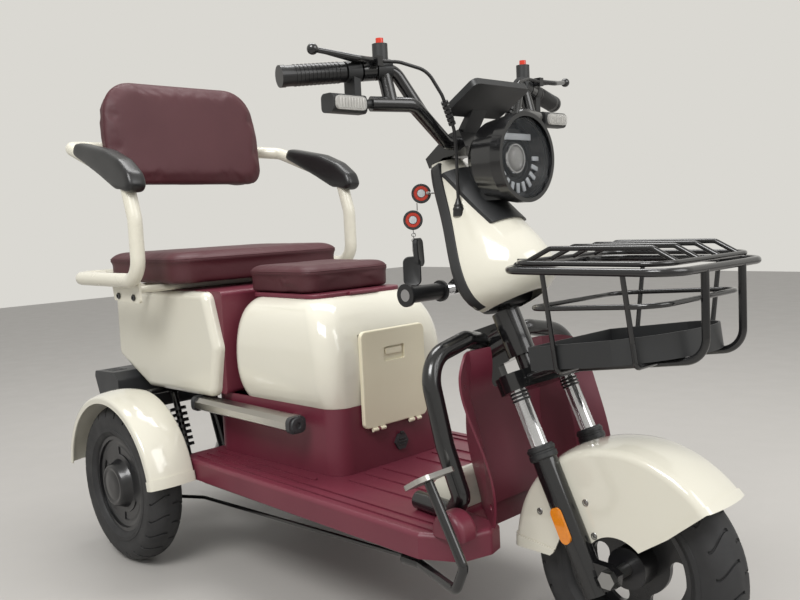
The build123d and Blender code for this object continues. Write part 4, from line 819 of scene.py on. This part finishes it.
# centre, (width, height, thickness), direction faced
for centre, size, facing in (
    ((0.193, -0.046, 0.690), (0.030, 0.054, 0.008), Vector((0.9, 0.35, 0.05))),
    ((0.190, -0.062, 0.655), (0.034, 0.056, 0.008), Vector((0.68, -0.72, 0.1))),
):
    facing.normalize()
    across = Z_AXIS.cross(facing).normalized()
    fobs.append(put_by_axes(model_fob(*size), centre, across, facing.cross(across), facing))
hand_over(join(fobs), "key_fobs", "steering", "black_plastic")

# Wheel covers: a stepped dish with a domed cap on the outer face of each rear wheel
COVER_OUT = 0.0212
COVER_TURN = 0.5
POCKETS = 3
POCKET_SHARE = 0.55
POCKET_INNER, POCKET_OUTER = 0.066, 0.086


def in_pocket(face):
    """Whether a face lies in one of the three sunk windows of the cover, 66 degrees long."""
    centre = face.calc_center_median()
    reach = Vector((centre.x, centre.y)).length
    turn = atan2(centre.y, centre.x) / (2 * pi / POCKETS) % 1.0
    return face.normal.z > 0.9 and POCKET_INNER < reach < POCKET_OUTER and turn < POCKET_SHARE


def model_cover():
    """A wheel cover about its own Z, with its windows sunk."""
    cover = turned(
        [
            (0, 104), (2.5, 104), (3.5, 102), (3.5, 97), (1.5, 94), (1.5, 88), (1.5, 64), (3.5, 56), (12, 51),
            (22, 48), (26, 45), (27, 42), (27, 39), (25.5, 37), (25.5, 33), (27, 30), (27.5, 12), (27.5, 2),
        ],
        96,
    )
    bpy.ops.object.mode_set(mode="EDIT")
    choose(cover, "FACE", in_pocket)
    bpy.ops.mesh.inset(thickness=0.003, depth=0.0008)
    bpy.ops.mesh.inset(thickness=0.0015, depth=-0.0060)
    bpy.ops.object.mode_set(mode="OBJECT")
    return cover


cover = model_cover()
for wheel, centre, body in wheels[1:]:
    side = 1 if centre.y > 0 else -1
    copy = put(again(cover), centre + Vector((0, side * COVER_OUT, 0)), Vector((0, side, 0)), COVER_TURN)
    hand_over(copy, wheel + "_wheel_cover", body, "rim", sharp=40)
bpy.data.objects.remove(cover)

# Sockets in the front fender: a steel screw sunk in a sleeve
FENDER_FACE = 0.0622
socket = turned(
    [
        (-1, 5.8), (0.6, 5.8), (1.0, 5.4), (1.0, 4.4), (-1.5, 4.2), (-1.5, 3.4), (0, 3.2), (0.3, 2.6),
        (0.3, 0.8),
    ],
    28,
)
places = [
    ((x, side * FENDER_FACE, z), Vector((0, side, 0)))
    for side in SIDES
    for x, z in ((0.561, 0.286), (0.576, 0.234), (0.470, 0.252))
]
hand_over_copies(socket, places, "fender_screws", "steering", "steel")

# Rail ends: a round button on each rail cap
button = turned([(-8, 16), (0, 17), (3, 15), (3.5, 13), (3.5, 7), (0, 6), (0, 1)], 40)
RAIL_END, RAIL_SIDE, RAIL_HEIGHT = -0.0155, 0.197, 0.357
places = [((RAIL_END, side * RAIL_SIDE, RAIL_HEIGHT), X_AXIS) for side in SIDES]
hand_over_copies(button, places, "rail_buttons", "root", "dark_plastic")

# Charge port: three louvres and a pull tab on its cap
PORT_FACE = 0.0588
PORT_SIDE = 0.018
louvres = []
# height, length, width
for height, length, width in (
    (0.284, 0.018, 0.0026),
    (0.290, 0.024, 0.0026),
    (0.296, 0.018, 0.0026),
    (0.3085, 0.010, 0.006),
):
    louvres.append(put(slim_bar(length, width), (PORT_FACE, PORT_SIDE, height), X_AXIS, LEVEL))
hand_over(join(louvres), "port_louvres", "root", "black_plastic")

# Column cover: the black band between the shell and the lock side, drawn back from the shell's rear edge
BAND_LOW, BAND_HIGH, BAND_ROWS = 0.650, 0.934, 24
BAND_AHEAD = 0.016
SHELL_AHEAD = 0.004
BAND_PROUD = 0.0016


def model_band():
    """A band as wide as the shell at each height, narrowing towards its back."""
    bpy.context.view_layer.update()
    heights = [BAND_LOW + (BAND_HIGH - BAND_LOW) * i / (BAND_ROWS - 1) for i in range(BAND_ROWS)]
    halves = []
    for up in heights:
        hit, skin, _, _ = nodes["column_shell"].ray_cast(steer_point(SHELL_AHEAD, 0.3, up), -Y_AXIS)
        halves.append(skin.y + BAND_PROUD if hit else halves[-1])
    rows = list(zip(heights, halves))
    outline = [(-half, up) for up, half in rows] + [(half, up) for up, half in reversed(rows)]
    bpy.ops.object.select_all(action="DESELECT")
    bpy.ops.mesh.primitive_circle_add(vertices=len(outline), radius=0.05, fill_type="NGON")
    band = bpy.context.object
    for vertex, (side, up) in zip(band.data.vertices, outline):
        vertex.co = steer_point(BAND_AHEAD, side, up)
    middle = sum((vertex.co for vertex in band.data.vertices), Vector()) / len(outline)
    bpy.ops.object.mode_set(mode="EDIT")
    bpy.ops.mesh.select_all(action="SELECT")
    for back, size in ((0.016, 1.0), (0.006, 0.99), (0.004, 0.965), (0.003, 0.92)):
        step = -STEER_OUT * back
        middle += step
        bpy.ops.mesh.extrude_region_move(TRANSFORM_OT_translate={"value": tuple(step)})
        bpy.ops.transform.resize(value=(size, size, size), center_override=tuple(middle))
    bpy.ops.mesh.select_all(action="SELECT")
    bpy.ops.mesh.normals_make_consistent(inside=False)
    bpy.ops.object.mode_set(mode="OBJECT")
    finish_with(band, "BEVEL", width=0.002, segments=2)
    return band


hand_over(model_band(), "column_band", "steering", "black_plastic")

# Lever blades: a flattened taper from each perch to the ball at its end
LEVER_FLATNESS = 0.62
lever_blade = turned([(0, 6), (8, 8.6), (30, 9), (62, 7), (92, 5.2), (112, 4.4), (116, 3)], 28)
lever_blade.data.transform(Matrix.Diagonal((1, LEVER_FLATNESS, 1, 1)))
places = []
for side in SIDES:
    perch, ball = Vector((0.269, side * 0.228, 1.0145)), Vector((0.269, side * 0.338, 1.023))
    places.append((perch, ball - perch))
hand_over_copies(lever_blade, places, "lever_blades", "steering", "black_metal")

# Boots where the brake cables enter the column shell
boot = turned(
    [
        (-16, 10.5), (-6, 9.8), (-4, 10.4), (-1, 9.4), (1, 8), (3, 8.4), (6, 6.4), (12, 4.4), (15, 3.7),
        (15, 1),
    ],
    32,
)
BOOT_X, BOOT_SIDE, BOOT_HEIGHT = 0.309, 0.058, 0.771
places = [((BOOT_X, side * BOOT_SIDE, BOOT_HEIGHT), Z_AXIS) for side in SIDES]
hand_over_copies(boot, places, "cable_boots", "steering", "foam_rubber")

# Turn signal lenses: upright flutes moulded on the face of each
LENS_FACE, LENS_SIDE, LENS_HEIGHT = 0.2905, 0.280, 0.942
FLUTES = 9
FLUTE_STEP = 0.006
FLUTE_LENGTH, FLUTE_WIDTH = 0.017, 0.0030
flutes = []
for side in SIDES:
    for i in range(FLUTES):
        place = (LENS_FACE, side * (LENS_SIDE + FLUTE_STEP * (i - FLUTES // 2)), LENS_HEIGHT)
        flutes.append(put(slim_bar(FLUTE_LENGTH, FLUTE_WIDTH), place, X_AXIS))
hand_over(join(flutes), "lens_flutes", "steering", "clear_lens")

# Armrest screws, with a round recess
ARMREST_FACE = 0.2952
screw = turned([(0, 7.5), (2.5, 7.5), (4.2, 5.8), (4.2, 3.4), (2.2, 3.1), (2.2, 1)], 30)
places = [
    ((x, side * ARMREST_FACE, z), Vector((0, side, 0)))
    for side in SIDES
    for x, z in ((-0.537, 0.607), (-0.465, 0.605))
]
hand_over_copies(screw, places, "armrest_screws", "root", "black_metal")

# Studio: a pale floor, soft lights and a wall colour
WALL = "#DAD8D2"
SKY = "#EAEAEB"
SKY_STRENGTH = 0.8
FLOOR = "#ABA8A3"
FLOOR_SIZE = 16

bpy.ops.object.select_all(action="DESELECT")
bpy.ops.mesh.primitive_plane_add(size=FLOOR_SIZE)
floor = bpy.context.object
floor.name = "studio_floor"
floor.data.materials.append(finish_material("studio_floor_paint", (FLOOR, FLOOR), (0.5, 0.6), IOR=1.4))

# name, place, point aimed at, width and height in metres, watts
for name, place, aim, size, power in (
    ("key", (1.0, -2.2, 3.0), (0, 0, 0.5), (1.6, 1.2), 85),
    ("fill", (3.0, 0.6, 2.4), (0.2, 0, 0.5), (2.0, 2.0), 45),
    ("top", (-0.6, 0.6, 3.4), (0, 0, 0.4), (2.5, 1.0), 60),
):
    lamp = bpy.data.lights.new(name, "AREA")
    lamp.shape = "RECTANGLE"
    lamp.size, lamp.size_y = size
    lamp.energy = power
    light = bpy.data.objects.new(name, lamp)
    scene.collection.objects.link(light)
    light.location = place
    light.rotation_euler = (Vector(aim) - Vector(place)).to_track_quat("-Z", "Y").to_euler()

# The world shows as the pale wall to the eye, to metal and through glass, and lights the object evenly
world = bpy.data.worlds.new("studio")
scene.world = world
world.use_nodes = True
sky = world.node_tree
backdrop = sky.nodes["Background"]
backdrop.inputs["Color"].default_value = linear(SKY)
backdrop.inputs["Strength"].default_value = SKY_STRENGTH
path = add_node(sky, "ShaderNodeLightPath", {}, {})
seen = path.outputs["Is Camera Ray"]
for kind in ("Is Glossy Ray", "Is Transmission Ray"):
    either = add_node(sky, "ShaderNodeMath", {"operation": "MAXIMUM"}, {"Value": seen})
    sky.links.new(path.outputs[kind], either.inputs[1])
    seen = either.outputs["Value"]
wall = add_node(sky, "ShaderNodeBackground", {"Color": linear(WALL), "Strength": 1.0}, {})
mixed = add_node(sky, "ShaderNodeMixShader", {}, {"Fac": seen})
sky.links.new(backdrop.outputs["Background"], mixed.inputs[1])
sky.links.new(wall.outputs["Background"], mixed.inputs[2])
sky.links.new(mixed.outputs["Shader"], sky.nodes["World Output"].inputs["Surface"])
scene.view_settings.view_transform = "Standard"
